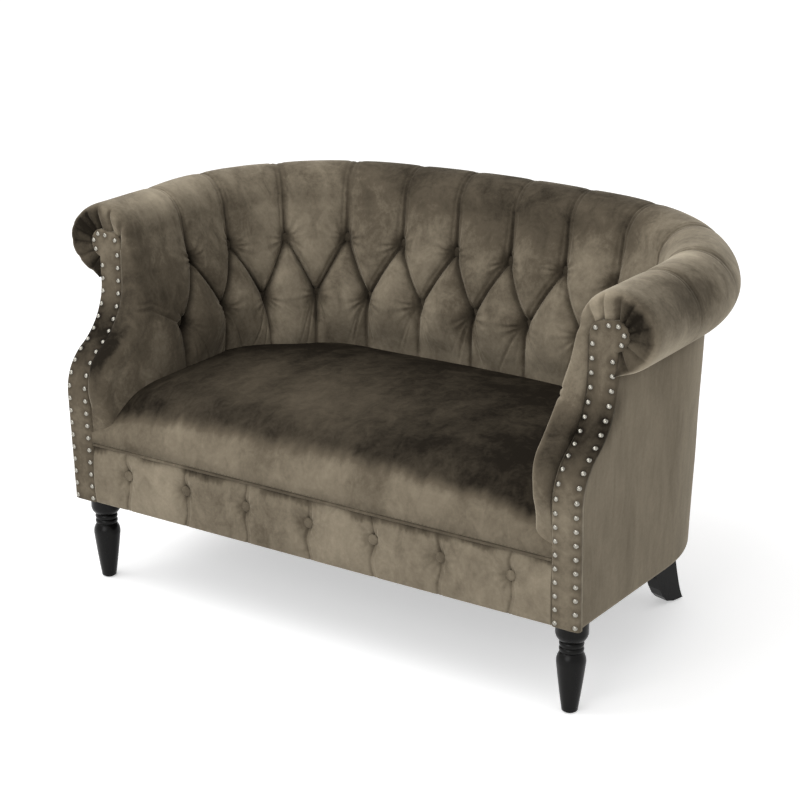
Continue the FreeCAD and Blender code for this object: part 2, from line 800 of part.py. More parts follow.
def zigzag_spring(x, start, end):
    turns = int((end - start) / spring_pitch)
    step = (end - start - spring_wire) / turns
    points = []
    side = -1
    for index in range(turns + 1):
        depth = start + spring_wire / 2 + index * step
        points.append(Vec(x + side * spring_half_width, depth, rail_top + joint_gap))
        points.append(Vec(x - side * spring_half_width, depth, rail_top + joint_gap))
        side = -side
    return strip_face(points, spring_wire).extrude(Vec(0, 0, spring_wire))


def make_springs(nodes):
    count = int((corner_centre.x + corner_radius / 2) / spring_spacing)
    start = front_rail_front + clip_length + 2 * joint_gap
    springs = []
    clips = []
    for index in range(-count, count + 1):
        x = index * spring_spacing
        inner = abs(x) + spring_half_width + spring_wire
        end = back_y(inner, -frame_inner / 2)
        springs.append(zigzag_spring(x, start, end))
        clip_top = rail_top + joint_gap + spring_wire
        for low in (front_rail_front + joint_gap, end + joint_gap):
            clips.append(box((x - clip_width / 2, low, rail_top),
                             (x + clip_width / 2, low + clip_length, clip_top)))
    nodes["zigzag_springs"] = Part.makeCompound(springs)
    nodes["spring_clips"] = Part.makeCompound(clips)


def floor_plan(inset, front, front_half):
    """Plan outline that keeps an inset from the roll's line behind the posts, and a straight front."""
    behind = along_at(post_back + soft_gap)
    bend = [run for run in columns(bend_end) if run > 0]
    right = [(front_half, front), (front_half, post_back + soft_gap)]
    for run in [behind] + bend[::-1]:
        spot = wall_point(run, -inset, 0)
        right.append((spot.x, spot.y))
    return right + [(-x, y) for x, y in reversed(right)]


def lining_section(along):
    top = roll_height(along) - roll_radius - top_rail_depth - soft_gap
    inner = -pad_back + soft_gap
    return upright_box(inner, inner + cloth_thickness, pad_floor, top)


def make_cloths(nodes):
    half = frame_half - soft_gap
    deck = floor_plan(frame_inner + cloth_thickness + soft_gap, front_rail_front + soft_gap, half)
    nodes["deck_cloth"] = prism(deck, deck_floor, deck_floor + cloth_thickness)
    behind = along_at(neck_set + post_back)
    runs = [run for run in columns(behind) if run > 0]
    nodes["wall_lining"] = wall_piece(both_ways(runs), lining_section)
    dust = floor_plan(frame_outer, front_rail_front + soft_gap, half)
    sheet_top = frame_floor - soft_gap
    sheet = prism(dust, sheet_top - cloth_thickness, sheet_top)
    right = [plate_outline(*place, plate_half + 2 * soft_gap) for place in leg_places()]
    openings = [prism(outline, leg_top, frame_floor) for outline in right]
    nodes["dust_cover"] = sheet.cut(openings + [mirrored(opening) for opening in openings])


# Legs and their fittings

def rear_leg_run():
    """Run at which the wall stands nearest to a rear leg's head."""
    angle = math.atan2(rear_leg_out - corner_centre.x, rear_leg_set - corner_centre.y)
    return back_run + (angle - bow) * (corner_radius - tuft_line)


def leg_places():
    """Middle and facing of the right front and right rear leg's head."""
    return ((Vec(leg_out, leg_set, 0), Vec(0, 1, 0)),
            (Vec(rear_leg_out, rear_leg_set, 0), outward_at(math.radians(rear_leg_turn))))


def turned_outline(middle, facing, low, high, half):
    """Corners of a rectangle that runs from low to high along a facing, half to each side."""
    across = Vec(-facing.y, facing.x, 0)
    corners = [middle + facing * reach + across * side
               for reach, side in ((high, half), (low, half), (low, -half), (high, -half))]
    return [(corner.x, corner.y) for corner in corners]


def plate_outline(middle, facing, half):
    return turned_outline(middle, facing, -half, half, half)


def turned_leg():
    """Front leg turned about its axis: foot, long taper, bulge, two beads and a flared collar."""
    bead_top = bead_floor + 2 * bead_height
    taper = (lerp(foot_radius, bulge_radius, taper_round), lerp(glide_height, bulge_height, 0.5))
    shoulder = (lerp(waist_radius, bulge_radius, bulge_round[0]),
                lerp(bulge_height, bead_floor, bulge_round[1]))
    flare_via = (lerp(waist_radius, collar_radius, flare_round[0]),
                 bead_top + collar_flare * flare_round[1])
    steps = [[(0, glide_height)], [(foot_radius, glide_height)], [taper, (bulge_radius, bulge_height)],
             [shoulder, (waist_radius, bead_floor)],
             [(bead_radius, bead_floor + bead_height / 2), (waist_radius, bead_floor + bead_height)],
             [(bead_radius, bead_top - bead_height / 2), (waist_radius, bead_top)],
             [flare_via, (collar_radius, bead_top + collar_flare)], [(collar_radius, leg_top)],
             [(0, leg_top)]]
    spots = [[Vec(leg_out + radius, leg_set, height) for radius, height in step] for step in steps]
    return Part.Face(closed_wire(spots)).revolve(Vec(leg_out, leg_set, 0), Vec(0, 0, 1), 360)


def swept_leg():
    """Flat-sided rear leg that curves back and narrows towards its foot."""
    middle, facing = leg_places()[1]
    wires = []
    for share in sweep_stations:
        height = lerp(glide_height, leg_top, share)
        low = lerp(rear_leg_sweep - rear_foot_depth / 2, -rear_head_depth / 2, share ** front_edge_power)
        high = lerp(rear_leg_sweep + rear_foot_depth / 2, rear_head_depth / 2, share ** rear_edge_power)
        outline = turned_outline(middle, facing, low, high, rear_leg_width / 2)
        wires.append(Part.makePolygon([Vec(x, y, height) for x, y in outline + outline[:1]]))
    return Part.makeLoft(wires, True, True)


def make_fittings(places):
    """Plates, bolts and plate screws of the right-hand legs, with the room that each needs."""
    plates = []
    bolts = []
    screws = []
    bores = []
    up = Vec(0, 0, 1)
    for middle, facing in places:
        bolt_foot = Vec(middle.x, middle.y, frame_floor - bolt_length)
        below = bolt_foot - up * hole_gap
        bore = Part.makeCylinder(bolt_radius + hole_gap, bolt_length + hole_gap, below)
        bolts.append(Part.makeCylinder(bolt_radius, bolt_length, bolt_foot, up))
        plate = prism(plate_outline(middle, facing, plate_half), leg_top, frame_floor).cut(bore)
        holes = []
        for x, y in plate_outline(middle, facing, plate_half - screw_inset):
            head = Vec(x, y, leg_top)
            screws.append(screw(head, up, plate_screw_length))
            holes.append(screw_hole(head, up, plate_screw_length))
        plates.append(plate.cut(holes))
        bores += holes
    return plates, bolts, screws, bores


def make_legs(nodes):
    places = leg_places()
    plates, bolts, screws, bores = make_fittings(places)
    room = []
    for middle, facing in places:
        bottom = Vec(middle.x, middle.y, leg_top - bolt_length)
        room.append(Part.makeCylinder(bolt_radius + hole_gap, bolt_length, bottom))
    nodes["front_right_leg"] = turned_leg().cut(room[0])
    nodes["rear_right_leg"] = swept_leg().cut(room[1])
    for end in ("front", "rear"):
        nodes[end + "_left_leg"] = mirrored(nodes[end + "_right_leg"])
    foot = places[1][0] + places[1][1] * rear_leg_sweep
    glides = [Part.makeCylinder(glide_radius, glide_height, spot) for spot in (places[0][0], foot)]
    groups = {"leg_plates": plates, "leg_bolts": bolts, "plate_screws": screws, "foot_glides": glides}
    for name, pieces in groups.items():
        nodes[name] = Part.makeCompound(pieces + [mirrored(piece) for piece in pieces])
    for name in ("front_rail", "back_rail", "right_side_rail", "right_arm_post"):
        nodes[name] = nodes[name].cut(bores)
    left_bores = [mirrored(bore) for bore in bores]
    for name in ("front_rail", "back_rail", "left_side_rail", "left_arm_post"):
        nodes[name] = nodes[name].cut(left_bores)
    for name in ("front_corner_blocks", "rear_leg_blocks"):
        nodes[name] = nodes[name].cut(bores + left_bores)


def build():
    nodes = {"top_roll": make_roll()}
    make_tufted_pad(nodes)
    make_arm_fronts(nodes)
    make_seat(nodes)
    make_border(nodes)
    make_cover(nodes)
    nodes.update(make_frame())
    make_blocks(nodes)
    make_legs(nodes)
    make_springs(nodes)
    make_cloths(nodes)
    return nodes


def main():
    os.makedirs("parts", exist_ok=True)
    nodes = build()
    whole = Part.makeCompound(list(nodes.values())).optimalBoundingBox()
    to_origin = Vec(0, -(whole.YMin + whole.YMax) / 2, 0)
    for name, shape in nodes.items():
        shape.translate(to_origin)
        shape.exportStep(os.path.join("parts", name + ".step"))


main()
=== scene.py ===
import json
import math

import bmesh
import bpy
import numpy as np
from mathutils import Matrix, Vector, noise


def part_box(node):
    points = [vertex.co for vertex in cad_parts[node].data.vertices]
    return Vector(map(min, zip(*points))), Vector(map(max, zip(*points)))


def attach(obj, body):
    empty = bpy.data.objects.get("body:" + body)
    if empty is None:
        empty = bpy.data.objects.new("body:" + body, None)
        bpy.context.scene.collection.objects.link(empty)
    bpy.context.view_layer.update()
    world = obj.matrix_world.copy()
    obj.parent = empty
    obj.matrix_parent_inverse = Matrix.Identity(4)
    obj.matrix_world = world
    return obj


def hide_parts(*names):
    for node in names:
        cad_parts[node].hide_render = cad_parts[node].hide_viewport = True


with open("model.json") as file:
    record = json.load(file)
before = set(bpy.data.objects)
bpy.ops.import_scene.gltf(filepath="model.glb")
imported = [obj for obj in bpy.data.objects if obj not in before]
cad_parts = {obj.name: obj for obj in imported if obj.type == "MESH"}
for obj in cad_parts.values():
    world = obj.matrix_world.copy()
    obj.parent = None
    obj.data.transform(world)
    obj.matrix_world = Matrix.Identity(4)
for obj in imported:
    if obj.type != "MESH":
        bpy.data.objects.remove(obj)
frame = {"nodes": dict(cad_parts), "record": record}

bl_info = {
    "name": "Tufted loveseat",
    "version": (1, 0, 0),
    "blender": (4, 5, 0),
    "location": "3D View > Sidebar > Loveseat",
    "description": "Dresses the loveseat's frame in tufted velvet and sets a plain studio round it",
    "category": "Object",
}

MIRROR = np.array([-1.0, 1.0, 1.0])
# Value of the pile's mask at which a velvet has its middle colour
MID_PILE = 0.45

# Upright sections of the wall's inner face, as (height, inset): over a puff, in a crease, on the plain front
PUFF_PROFILE = (
    (0.250, 0.108), (0.330, 0.110), (0.384, 0.114), (0.420, 0.125), (0.455, 0.129), (0.490, 0.125),
    (0.520, 0.117), (0.552, 0.105), (0.580, 0.090), (0.605, 0.0745), (0.630, 0.0626))
CREASE_PROFILE = (
    (0.250, 0.106), (0.330, 0.108), (0.384, 0.103), (0.430, 0.096), (0.458, 0.087), (0.470, 0.081),
    (0.485, 0.080), (0.522, 0.078), (0.553, 0.066), (0.575, 0.054), (0.592, 0.053), (0.612, 0.055),
    (0.630, 0.058))
PLAIN_PROFILE = (
    (0.250, 0.107), (0.330, 0.109), (0.384, 0.110), (0.430, 0.110), (0.470, 0.108), (0.505, 0.104),
    (0.545, 0.096), (0.585, 0.081), (0.610, 0.071), (0.630, 0.0626))


def length(name, default, description):
    return bpy.props.FloatProperty(name=name, description=description, default=default,
                                   unit="LENGTH", subtype="DISTANCE", precision=4)


def angle(name, degrees, description):
    return bpy.props.FloatProperty(name=name, description=description, default=math.radians(degrees),
                                   unit="ROTATION", subtype="ANGLE")


def number(name, default, description):
    return bpy.props.FloatProperty(name=name, description=description, default=default)


def count(name, default, description):
    return bpy.props.IntProperty(name=name, description=description, default=default)


def colour(name, default, description):
    return bpy.props.FloatVectorProperty(name=name, description=description, default=default,
                                         size=3, subtype="COLOR", min=0.0, max=1.0)


class LOVESEAT_PG_wall(bpy.types.PropertyGroup):
    """Arms, back and the roll along their top. Depths run back from the feet of the front panels."""
    arm_spread: length("Arm spread", 0.521, "Middle of the seat to the roll's line at its front end")
    arm_flare: angle("Arm flare", 1.5, "How far each arm opens towards the back")
    side_run: length("Side run", 0.206, "Straight length of each arm's roll")
    corner_radius: length("Corner radius", 0.314, "Bend from arm to back")
    back_bow: angle("Back bow", 4.3, "Bow in each half of the back")
    roll_radius: length("Roll radius", 0.064, "Radius of the roll between its pleats")
    roll_height: length("Roll height", 0.638, "Centre of the roll at its front ends")
    back_rise: length("Back rise", 0.016, "How much higher the centre is at the middle of the back")
    roll_round: length("Roll rounding", 0.020, "Rounding of the padding's front ends")
    end_swell: length("End swell", 0.013, "How far the roll's front ends stand out round the panels' lobes")
    end_flare: length("End flare", 0.008, "How far the roll flares outwards at its front ends")
    end_gather: length("End gather", 0.011, "Depth of the folds gathered to the panels' rounded tops")
    flank_swell: length("Flank swell", 0.010, "How far the padding stands before the panels beside them")
    waist_swell: length("Waist swell", 0.018, "How much further it does so at the panels' waists")
    flank_foot: length("Flank foot", 0.335, "Height above which the padding stands before the panels")
    flank_waist: length("Flank waist", 0.455, "Height at which it stands furthest before them")
    roll_hang: length("Roll hang", 0.009, "How much fuller the roll is low on its outer side")
    roll_pleat: length("Roll pleat", 0.0062, "Depth of the pleats across the roll")
    second_fold: length("Second fold", 0.0030, "Depth of the fold beside each crease of the upper puffs")
    fan_fold: length("Fan fold", 0.0054, "Depth of the folds that fan out below the lower buttons")
    pull_fold: length("Pull fold", 0.0052, "Depth of the creases on the plain front of each arm")
    pit_depth: length("Pit depth", 0.009, "Depth of the pit round a button")
    pit_radius: length("Pit radius", 0.010, "Radius of the pit round a button")
    wrinkle: length("Wrinkle", 0.0033, "Height of the wrinkles that run out from a button")
    tuft_line: length("Tuft line", 0.075, "Inset of the line along which the tufts are spaced")
    tuft_pitch: length("Tuft pitch", 0.118, "From one button to the next in a row")
    tufts: count("Tufts", 6, "Tufts from the middle of the back to the last one on each arm")
    upper_height: length("Upper row", 0.575, "Height of the upper buttons")
    lower_height: length("Lower row", 0.470, "Height of the lower buttons")
    seat_height: length("Seat edge", 0.384, "Height at which the padding meets the seat")
    seat_inset: length("Seat inset", 0.110, "Inset at which the padding meets the seat")
    seat_dip: length("Seat dip", 0.020, "How far the seat's edge dips along the back")
    dip_reach: length("Dip reach", 0.120, "How far the dip goes on past each end of the back")
    dip_blend: length("Dip blend", 0.200, "Length over which the dip runs out")
    waist_height: length("Waist height", 0.505, "Height below which the padding thins fully at the front")
    corner_fill: length("Corner fill", 0.034, "Extra padding in the back corners at the seat")
    front_inset: length("Front inset", 0.046, "The padding thins to this beside the welt")
    front_height: length("Front edge", 0.290, "Height of the seat's edge beside the welt")
    front_blend: length("Front blend", 0.180, "Depth over which the padding thins")
    pad_floor: length("Padding floor", 0.247, "Underside of the padding")
    pad_back: length("Padding back", 0.031, "Inset of the padding's back face")
    cover_front: length("Cover at the front", 0.009, "How far out the cover's top stands at its front ends")
    cover_back: length("Cover at the back", 0.016, "How far out the cover's top stands along the back")
    cover_foot: length("Cover's foot", 0.005, "How far out the cover's lower edge stands")
    cover_thickness: length("Cover thickness", 0.003, "Thickness of the outside cover")


class LOVESEAT_PG_front(bpy.types.PropertyGroup):
    """Front panels of the arms, border and welt."""
    panel_inner: length("Panel inner edge", 0.478, "Middle of the seat to a panel's inner edge")
    panel_outer: length("Panel outer edge", 0.529, "Middle of the seat to a panel's outer edge")
    panel_thickness: length("Panel thickness", 0.008, "Thickness of the padded panel")
    panel_crown: length("Panel crown", 0.0022, "How far a panel swells between its edges")
    knee_forward: length("Knee forward", 0.009, "How far the knee stands before the foot")
    knee_height: length("Knee height", 0.375, "Height of the foremost point")
    knee_radius: length("Knee radius", 0.090, "Curve over the knee")
    neck_set: length("Neck set", 0.096, "How far the neck stands behind the foot")
    neck_height: length("Neck height", 0.562, "Height at which the neck turns upright")
    round_height: length("Rounded top", 0.628, "Centre of a panel's rounded top")
    lobe_shift: length("Lobe shift", 0.018, "The lobe's centre, outwards from the rounded top's")
    lobe_rise: length("Lobe rise", 0.002, "The lobe's centre, above the rounded top's")
    lobe_radius: length("Lobe radius", 0.026, "Radius of the lobe")
    hollow_height: length("Hollow height", 0.475, "Height of the darkest part of a panel's hollow")
    hollow_reach: length("Hollow reach", 0.058, "How far its shade reaches up and down")
    body_floor: length("Body floor", 0.165, "Lower edge of panels, border and cover")
    border_top: length("Border top", 0.276, "Upper edge of the border")
    border_button_height: length("Border buttons", 0.232, "Height of the border's buttons")
    border_pitch: length("Border pitch", 0.1335, "From one border button to the next")
    border_swell: length("Border swell", 0.006, "How far the border stands out between its buttons")
    border_fold: length("Border fold", 0.0042, "Depth of the pleats above and below the border's buttons")
    border_pit: length("Border pit", 0.0075, "Depth of the pits round the border's buttons")
    welt_radius: length("Welt radius", 0.003, "Radius of each of the welt's two cords")


class LOVESEAT_PG_seat(bpy.types.PropertyGroup):
    """The tight crowned seat."""
    front: length("Seat front", -0.004, "Depth of the foremost point of the lip")
    lip_depth: length("Lip depth", 0.074, "Depth over which the lip rounds up to the seat")
    lip_nose: length("Lip nose", 0.012, "Height of the lip's upright front edge")
    crown: length("Crown", 0.026, "Crown of the seat")
    floor: length("Seat floor", 0.2886, "Underside of the cushion")
    tuck: length("Tuck", 0.010, "How far its edge goes under the padding")


class LOVESEAT_PG_trim(bpy.types.PropertyGroup):
    """Covered buttons and domed nails."""
    button_radius: length("Button radius", 0.0095, "Radius of a covered button")
    button_height: length("Button height", 0.0034, "How far a button stands out of its tuft")
    nail_radius: length("Nail radius", 0.0045, "Radius of a nail's dome")
    nail_height: length("Nail height", 0.0030, "Height of a nail's dome")


class LOVESEAT_PG_looks(bpy.types.PropertyGroup):
    """Colours of the materials."""
    pile_dark: colour("Pile, laid away", (0.0150, 0.0120, 0.0085), "Velvet where the pile lies away")
    pile_mid: colour("Pile", (0.1050, 0.0860, 0.0610), "Velvet between the two")
    pile_light: colour("Pile, raised", (0.340, 0.290, 0.212), "Velvet where the pile stands up")
    sheen: colour("Sheen", (0.78, 0.70, 0.56), "Tint of the pile's sheen")
    lacquer: colour("Lacquer", (0.0050, 0.0046, 0.0042), "Legs")
    nickel: colour("Nickel", (0.36, 0.343, 0.30), "Nails")
    timber: colour("Timber", (0.42, 0.27, 0.14), "Hidden frame")
    cloth: colour("Cloth", (0.018, 0.018, 0.019), "Dust cover, deck and lining")
    foam: colour("Foam", (0.72, 0.66, 0.48), "Seat foam")
    steel: colour("Steel", (0.48, 0.49, 0.51), "Springs, plates and screws")


class LOVESEAT_PG_pile_and_shade(bpy.types.PropertyGroup):
    """Lie of the velvet's pile, together with painted shade and light. Below 0 the velvet looks dark, as
    where its pile lies away, above 0 it looks light.
    """
    roll_middle: number("Roll, middle", -0.10, "Lie on the roll over the middle of the back")
    roll_inside_shade: number("Roll, inside", 0.28, "How much darker the roll's inner side is there")
    roll_arms: number("Roll, arms", 0.10, "Lie on the roll of the arms")
    roll_darkest: number("Roll, darkest", -0.32, "The pile of the roll lies no further away than this")
    stripes: number("Stripes", 0.18, "Strength of the stripes along the arms' rolls")
    face: number("Face", 0.09, "Lie on the wall's inner face")
    left_face_shade: number("Face, left", 0.25, "How much darker the left arm's face is")
    crease: number("Creases", 0.22, "How much darker the creases are, and twice that round the buttons")
    end_top_shade: number("Ends, top", 0.40, "How much darker the front ends are round the panels' tops")
    end_waist_shade: number("Ends, waist", 0.44, "How much darker they are beside the panels' waists")
    seat: number("Seat", -0.47, "Lie on the seat")
    seat_lip_light: number("Seat, lip", 0.53, "How much lighter the seat's lip is")
    seat_patch: number("Seat, patch", 0.21, "How much lighter the brushed patch on the seat is")
    border: number("Border", 0.13, "Lie on the border")
    border_below_welt: number("Border, brushed", 0.42, "How much darker the border's patches below the welt are")
    welt: number("Welt", -0.10, "Lie on the welt")
    panel: number("Panels", 0.04, "Lie on the front panels")
    panel_hollow_shade: number("Panels, hollow", 0.42, "How much darker the panels are in their hollows")
    panel_nails: number("Panels, nails", 0.24, "How much darker the panels are round their nails")
    cover: number("Cover", 0.08, "Lie on the outside cover")
    cover_shade_under_roll: number("Cover, top", 0.22, "How much darker the cover is under the roll")
    cover_waist_shade: number("Cover, waist", 0.27, "How much darker the cover is beside the panels' waists")
    wall_button_shade: number("Wall buttons", -0.26, "Lie on the wall's buttons")
    border_button: number("Border buttons", 0.02, "Lie on the border's buttons")


class LOVESEAT_PG_stage(bpy.types.PropertyGroup):
    """Camera, lights and floor."""
    camera_right: length("Camera right", 1.8575, "Camera's place to the right of the seat's middle")
    camera_depth: length("Camera depth", -2.8959, "Camera's place along the depth axis")
    camera_height: length("Camera height", 1.5357, "Camera's place above the floor")
    yaw: angle("Yaw", 33.206, "Turn to the left of straight ahead")
    pitch: angle("Pitch", 18.932, "Downward tilt")
    roll: angle("Roll", 0.111, "Turn about the line of sight")
    lens: number("Lens", 89.617, "Focal length in millimetres on a 36 mm sensor")
    world: number("Surround", 0.55, "Strength of the surround at floor level")
    overhead: number("Overhead", 0.30, "How much stronger the surround is overhead")
    key: number("Key light", 48.0, "Power of the large light over the left")
    fill: number("Fill light", 40.0, "Power of the light in front")
    floor_glow: number("Floor glow", 0.42, "White that the floor adds to what the camera and reflections see")


GROUPS = {
    "loveseat_wall": LOVESEAT_PG_wall,
    "loveseat_front": LOVESEAT_PG_front,
    "loveseat_seat": LOVESEAT_PG_seat,
    "loveseat_trim": LOVESEAT_PG_trim,
    "loveseat_looks": LOVESEAT_PG_looks,
    "loveseat_pile": LOVESEAT_PG_pile_and_shade,
    "loveseat_stage": LOVESEAT_PG_stage,
}


# Shapes shared by several pieces

def ease(value):
    share = np.clip(value, 0.0, 1.0)
    return share * share * (3 - 2 * share)


def mix(first, last, share):
    return first + (last - first) * share


def puff(share, fullness=0.55):
    """Section of a stuffed cell: 1 in its middle, falling steeply to 0 at its crease."""
    return (1 - np.clip(np.abs(share), 0.0, 1.0) ** 2.4) ** fullness


def through(profile, at):
    """Smooth curve through a profile of (place, value), whose places rise."""
    places, values = np.array(profile).T
    slopes = np.gradient(values, places)
    at = np.clip(at, places[0], places[-1])
    index = np.clip(np.searchsorted(places, at) - 1, 0, len(places) - 2)
    step = places[index + 1] - places[index]
    share = (at - places[index]) / step
    cubed = share ** 3
    squared = share ** 2
    return ((2 * cubed - 3 * squared + 1) * values[index]
            + (cubed - 2 * squared + share) * step * slopes[index]
            + (3 * squared - 2 * cubed) * values[index + 1]
            + (cubed - squared) * step * slopes[index + 1])


def rumple(points, scale, seed):
    """Smooth unevenness between -1 and 1 at points, the same on each run."""
    flat = points.reshape(-1, 3)
    values = [noise.noise(Vector((x * scale + seed, y * scale, z * scale))) for x, y, z in flat]
    return np.array(values).reshape(points.shape[:-1])


def broad_rumple(points, every, scale, seed):
    """Unevenness of a grid of points, worked out at every few rows and columns."""
    values = rumple(points[::every, ::every], scale, seed)
    return values.repeat(every, 0).repeat(every, 1)[:points.shape[0], :points.shape[1]]


def stroked(points, across, scale, seed):
    """Unevenness that changes fast along the width and only a share as fast across it."""
    return rumple(points * np.array([1.0, across, across]), scale, seed)


class Ogee:
    """Side view of the arms' fronts: depth of the curve at a height."""

    def __init__(self, front):
        self.front = front
        rise = front.neck_height - front.knee_height
        turn = 2 * math.atan2(front.neck_set + front.knee_forward, rise)
        self.neck_radius = rise / math.sin(turn) - front.knee_radius
        self.shoulder = front.knee_height + front.knee_radius * math.sin(turn)

    def depth(self, height):
        front = self.front
        shank = -front.knee_forward * (height - front.body_floor) / (front.knee_height - front.body_floor)
        over = np.clip((height - front.knee_height) / front.knee_radius, 0, 0.999)
        knee = front.knee_radius * (1 - np.sqrt(1 - over ** 2)) - front.knee_forward
        under = np.clip((front.neck_height - height) / self.neck_radius, 0, 0.999)
        neck = front.neck_set - self.neck_radius * (1 - np.sqrt(1 - under ** 2))
        lower = np.where(height < front.knee_height, shank, knee)
        return np.where(height < self.shoulder, lower, neck)


class Plan:
    """Plan of the wall: a bowed back, two bends and two straight arms."""

    def __init__(self, wall, front):
        self.wall = wall
        self.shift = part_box("right_front_panel")[0][1] + front.knee_forward
        self.bow = wall.back_bow
        self.turn = math.pi / 2 + wall.arm_flare
        self.roll_front = front.neck_set + front.panel_thickness + wall.roll_radius * math.sin(wall.arm_flare)
        self.corner_x = (wall.arm_spread - math.sin(self.turn) * wall.corner_radius
                         - math.cos(self.turn) * wall.side_run)
        self.corner_y = (self.roll_front - math.cos(self.turn) * wall.corner_radius
                         + math.sin(self.turn) * wall.side_run)
        self.back_radius = wall.corner_radius + self.corner_x / math.sin(self.bow)
        self.back_y = self.corner_y - (self.back_radius - wall.corner_radius) * math.cos(self.bow)
        self.back_line = self.back_radius - wall.tuft_line
        self.bend_line = wall.corner_radius - wall.tuft_line
        self.back_run = self.back_line * self.bow
        self.corner_run = self.bend_line * (self.turn - self.bow)
        self.bend_end = self.back_run + self.corner_run
        self.arm_run = self.bend_end + wall.side_run

    def place(self, along, out, height):
        """Points at runs along the wall from the back's middle, offsets out from its line, and heights."""
        along, out, height = np.broadcast_arrays(along, out, height)
        run = np.abs(along)
        on_back = run < self.back_run
        on_bend = self.bow + (run - self.back_run) / self.bend_line
        turn = np.where(on_back, run / self.back_line, np.minimum(on_bend, self.turn))
        reach = np.where(on_back, self.back_radius, self.wall.corner_radius) + out
        beyond = np.maximum(run - self.bend_end, 0)
        x = np.where(on_back, 0, self.corner_x) + np.sin(turn) * reach + np.cos(turn) * beyond
        y = np.where(on_back, self.back_y, self.corner_y) + np.cos(turn) * reach - np.sin(turn) * beyond
        return np.stack([np.where(along < 0, -x, x), y + self.shift, height], -1)

    def along_at(self, depth):
        """Run at which an arm's line stands at a depth."""
        return self.arm_run + (self.roll_front - depth) / math.cos(self.wall.arm_flare)

    def depth_at(self, along):
        return self.roll_front + (self.arm_run - np.abs(along)) * math.cos(self.wall.arm_flare)

    def roll_height(self, along):
        share = np.minimum(np.abs(along) / self.arm_run, 1)
        return self.wall.roll_height + self.wall.back_rise * (0.5 + 0.5 * np.cos(math.pi * share))

    def bend_fill(self, along):
        """How far the back corners are filled out: 1 in the middle of a bend, 0 outside it."""
        bend = np.clip((np.abs(along) - self.back_run) / self.corner_run, 0, 1)
        return np.sin(math.pi * bend) ** 2

    def seat_edge(self, along):
        """Inset and height of the line on which the padding meets the seat."""
        wall = self.wall
        run = np.abs(along)
        inset = wall.seat_inset + wall.corner_fill * self.bend_fill(along)
        left = np.where(run < self.bend_end, 0, 1 - np.clip(self.depth_at(run) / wall.front_blend, 0, 1))
        dipped = ease((self.back_run + wall.dip_reach - run) / wall.dip_blend)
        height = wall.seat_height - wall.seat_dip * dipped
        return mix(inset, wall.front_inset, left ** 2), mix(height, wall.front_height, left ** 3.5)


def grid_faces(rows, columns, close_rows=False):
    """Quads of a grid whose vertices are numbered row by row."""
    first = np.arange(rows if close_rows else rows - 1)
    row, column = np.meshgrid(first, np.arange(columns - 1), indexing="ij")
    after = (row + 1) % rows
    faces = np.stack([row * columns + column, row * columns + column + 1,
                      after * columns + column + 1, after * columns + column], -1)
    return faces.reshape(-1, 4).tolist()


def skin_ends(rows, columns):
    """Faces that close both ends of a sheet made of an outer and a reversed inner skin of so many rows."""
    faces = []
    for column in (0, columns - 1):
        for row in range(rows - 1):
            mate = 2 * rows - 1 - row
            faces.append([corner * columns + column for corner in (row, row + 1, mate - 1, mate)])
    return faces


def make_mesh(name, points, faces, naps_and_shade=None):
    """Smooth-shaded object from points and faces, with the lie of its pile, and the painted shade and light
    added to it, as an attribute.
    """
    mesh = bpy.data.meshes.new(name)
    mesh.from_pydata(np.asarray(points).reshape(-1, 3).tolist(), [], faces)
    mesh.validate()
    if naps_and_shade is not None:
        layer = mesh.attributes.new("nap_and_shade", "FLOAT", "POINT")
        layer.data.foreach_set("value", np.asarray(naps_and_shade, np.float32).ravel())
    mesh.shade_smooth()
    obj = bpy.data.objects.new(name, mesh)
    bpy.context.scene.collection.objects.link(obj)
    return obj


def mend(obj, weld=False, fill=False):
    """Joins doubled vertices and fills holes where asked, and turns the faces outward."""
    work = bmesh.new()
    work.from_mesh(obj.data)
    if weld:
        bmesh.ops.remove_doubles(work, verts=work.verts, dist=1e-6)
    if fill:
        bmesh.ops.holes_fill(work, edges=[edge for edge in work.edges if edge.is_boundary], sides=0)
    bmesh.ops.recalc_face_normals(work, faces=work.faces)
    work.to_mesh(obj.data)
    work.free()


def mount_piece(obj, material, slot_name, *nodes, fill=None):
    """Gives a piece its material and its place on the frame, and hides the nodes that it stands for."""
    obj.data.materials.clear()
    obj.data.materials.append(material)
    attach(obj, "root")
    if nodes:
        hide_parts(*nodes)


# Materials

def new_group(name, inputs, outputs):
    """Node group with named inputs, as (kind, name, default), and outputs, as (kind, name)."""
    tree = bpy.data.node_groups.new(name, "ShaderNodeTree")
    for kind, label, default in inputs:
        socket = tree.interface.new_socket(label, in_out="INPUT", socket_type=kind)
        if default is not None:
            socket.default_value = default
    for kind, label in outputs:
        tree.interface.new_socket(label, in_out="OUTPUT", socket_type=kind)
    return tree, tree.nodes.new("NodeGroupInput"), tree.nodes.new("NodeGroupOutput")


def add(tree, kind, links=None, **values):
    """Node with some of its sockets set or linked by name, and other values set as properties."""
    node = tree.nodes.new(kind)
    for key, value in values.items():
        if key in node.inputs.keys():
            node.inputs[key].default_value = value
        else:
            setattr(node, key, value)
    for key, source in (links or {}).items():
        tree.links.new(source, node.inputs[key])
    return node


def math_node(tree, operation, first, second):
    node = tree.nodes.new("ShaderNodeMath")
    node.operation = operation
    for socket, value in zip(node.inputs, (first, second)):
        if isinstance(value, (int, float)):
            socket.default_value = value
        else:
            tree.links.new(value, socket)
    return node.outputs[0]


def noise_node(tree, vector, **values):
    return add(tree, "ShaderNodeTexNoise", {"Vector": vector}, **values).outputs["Fac"]


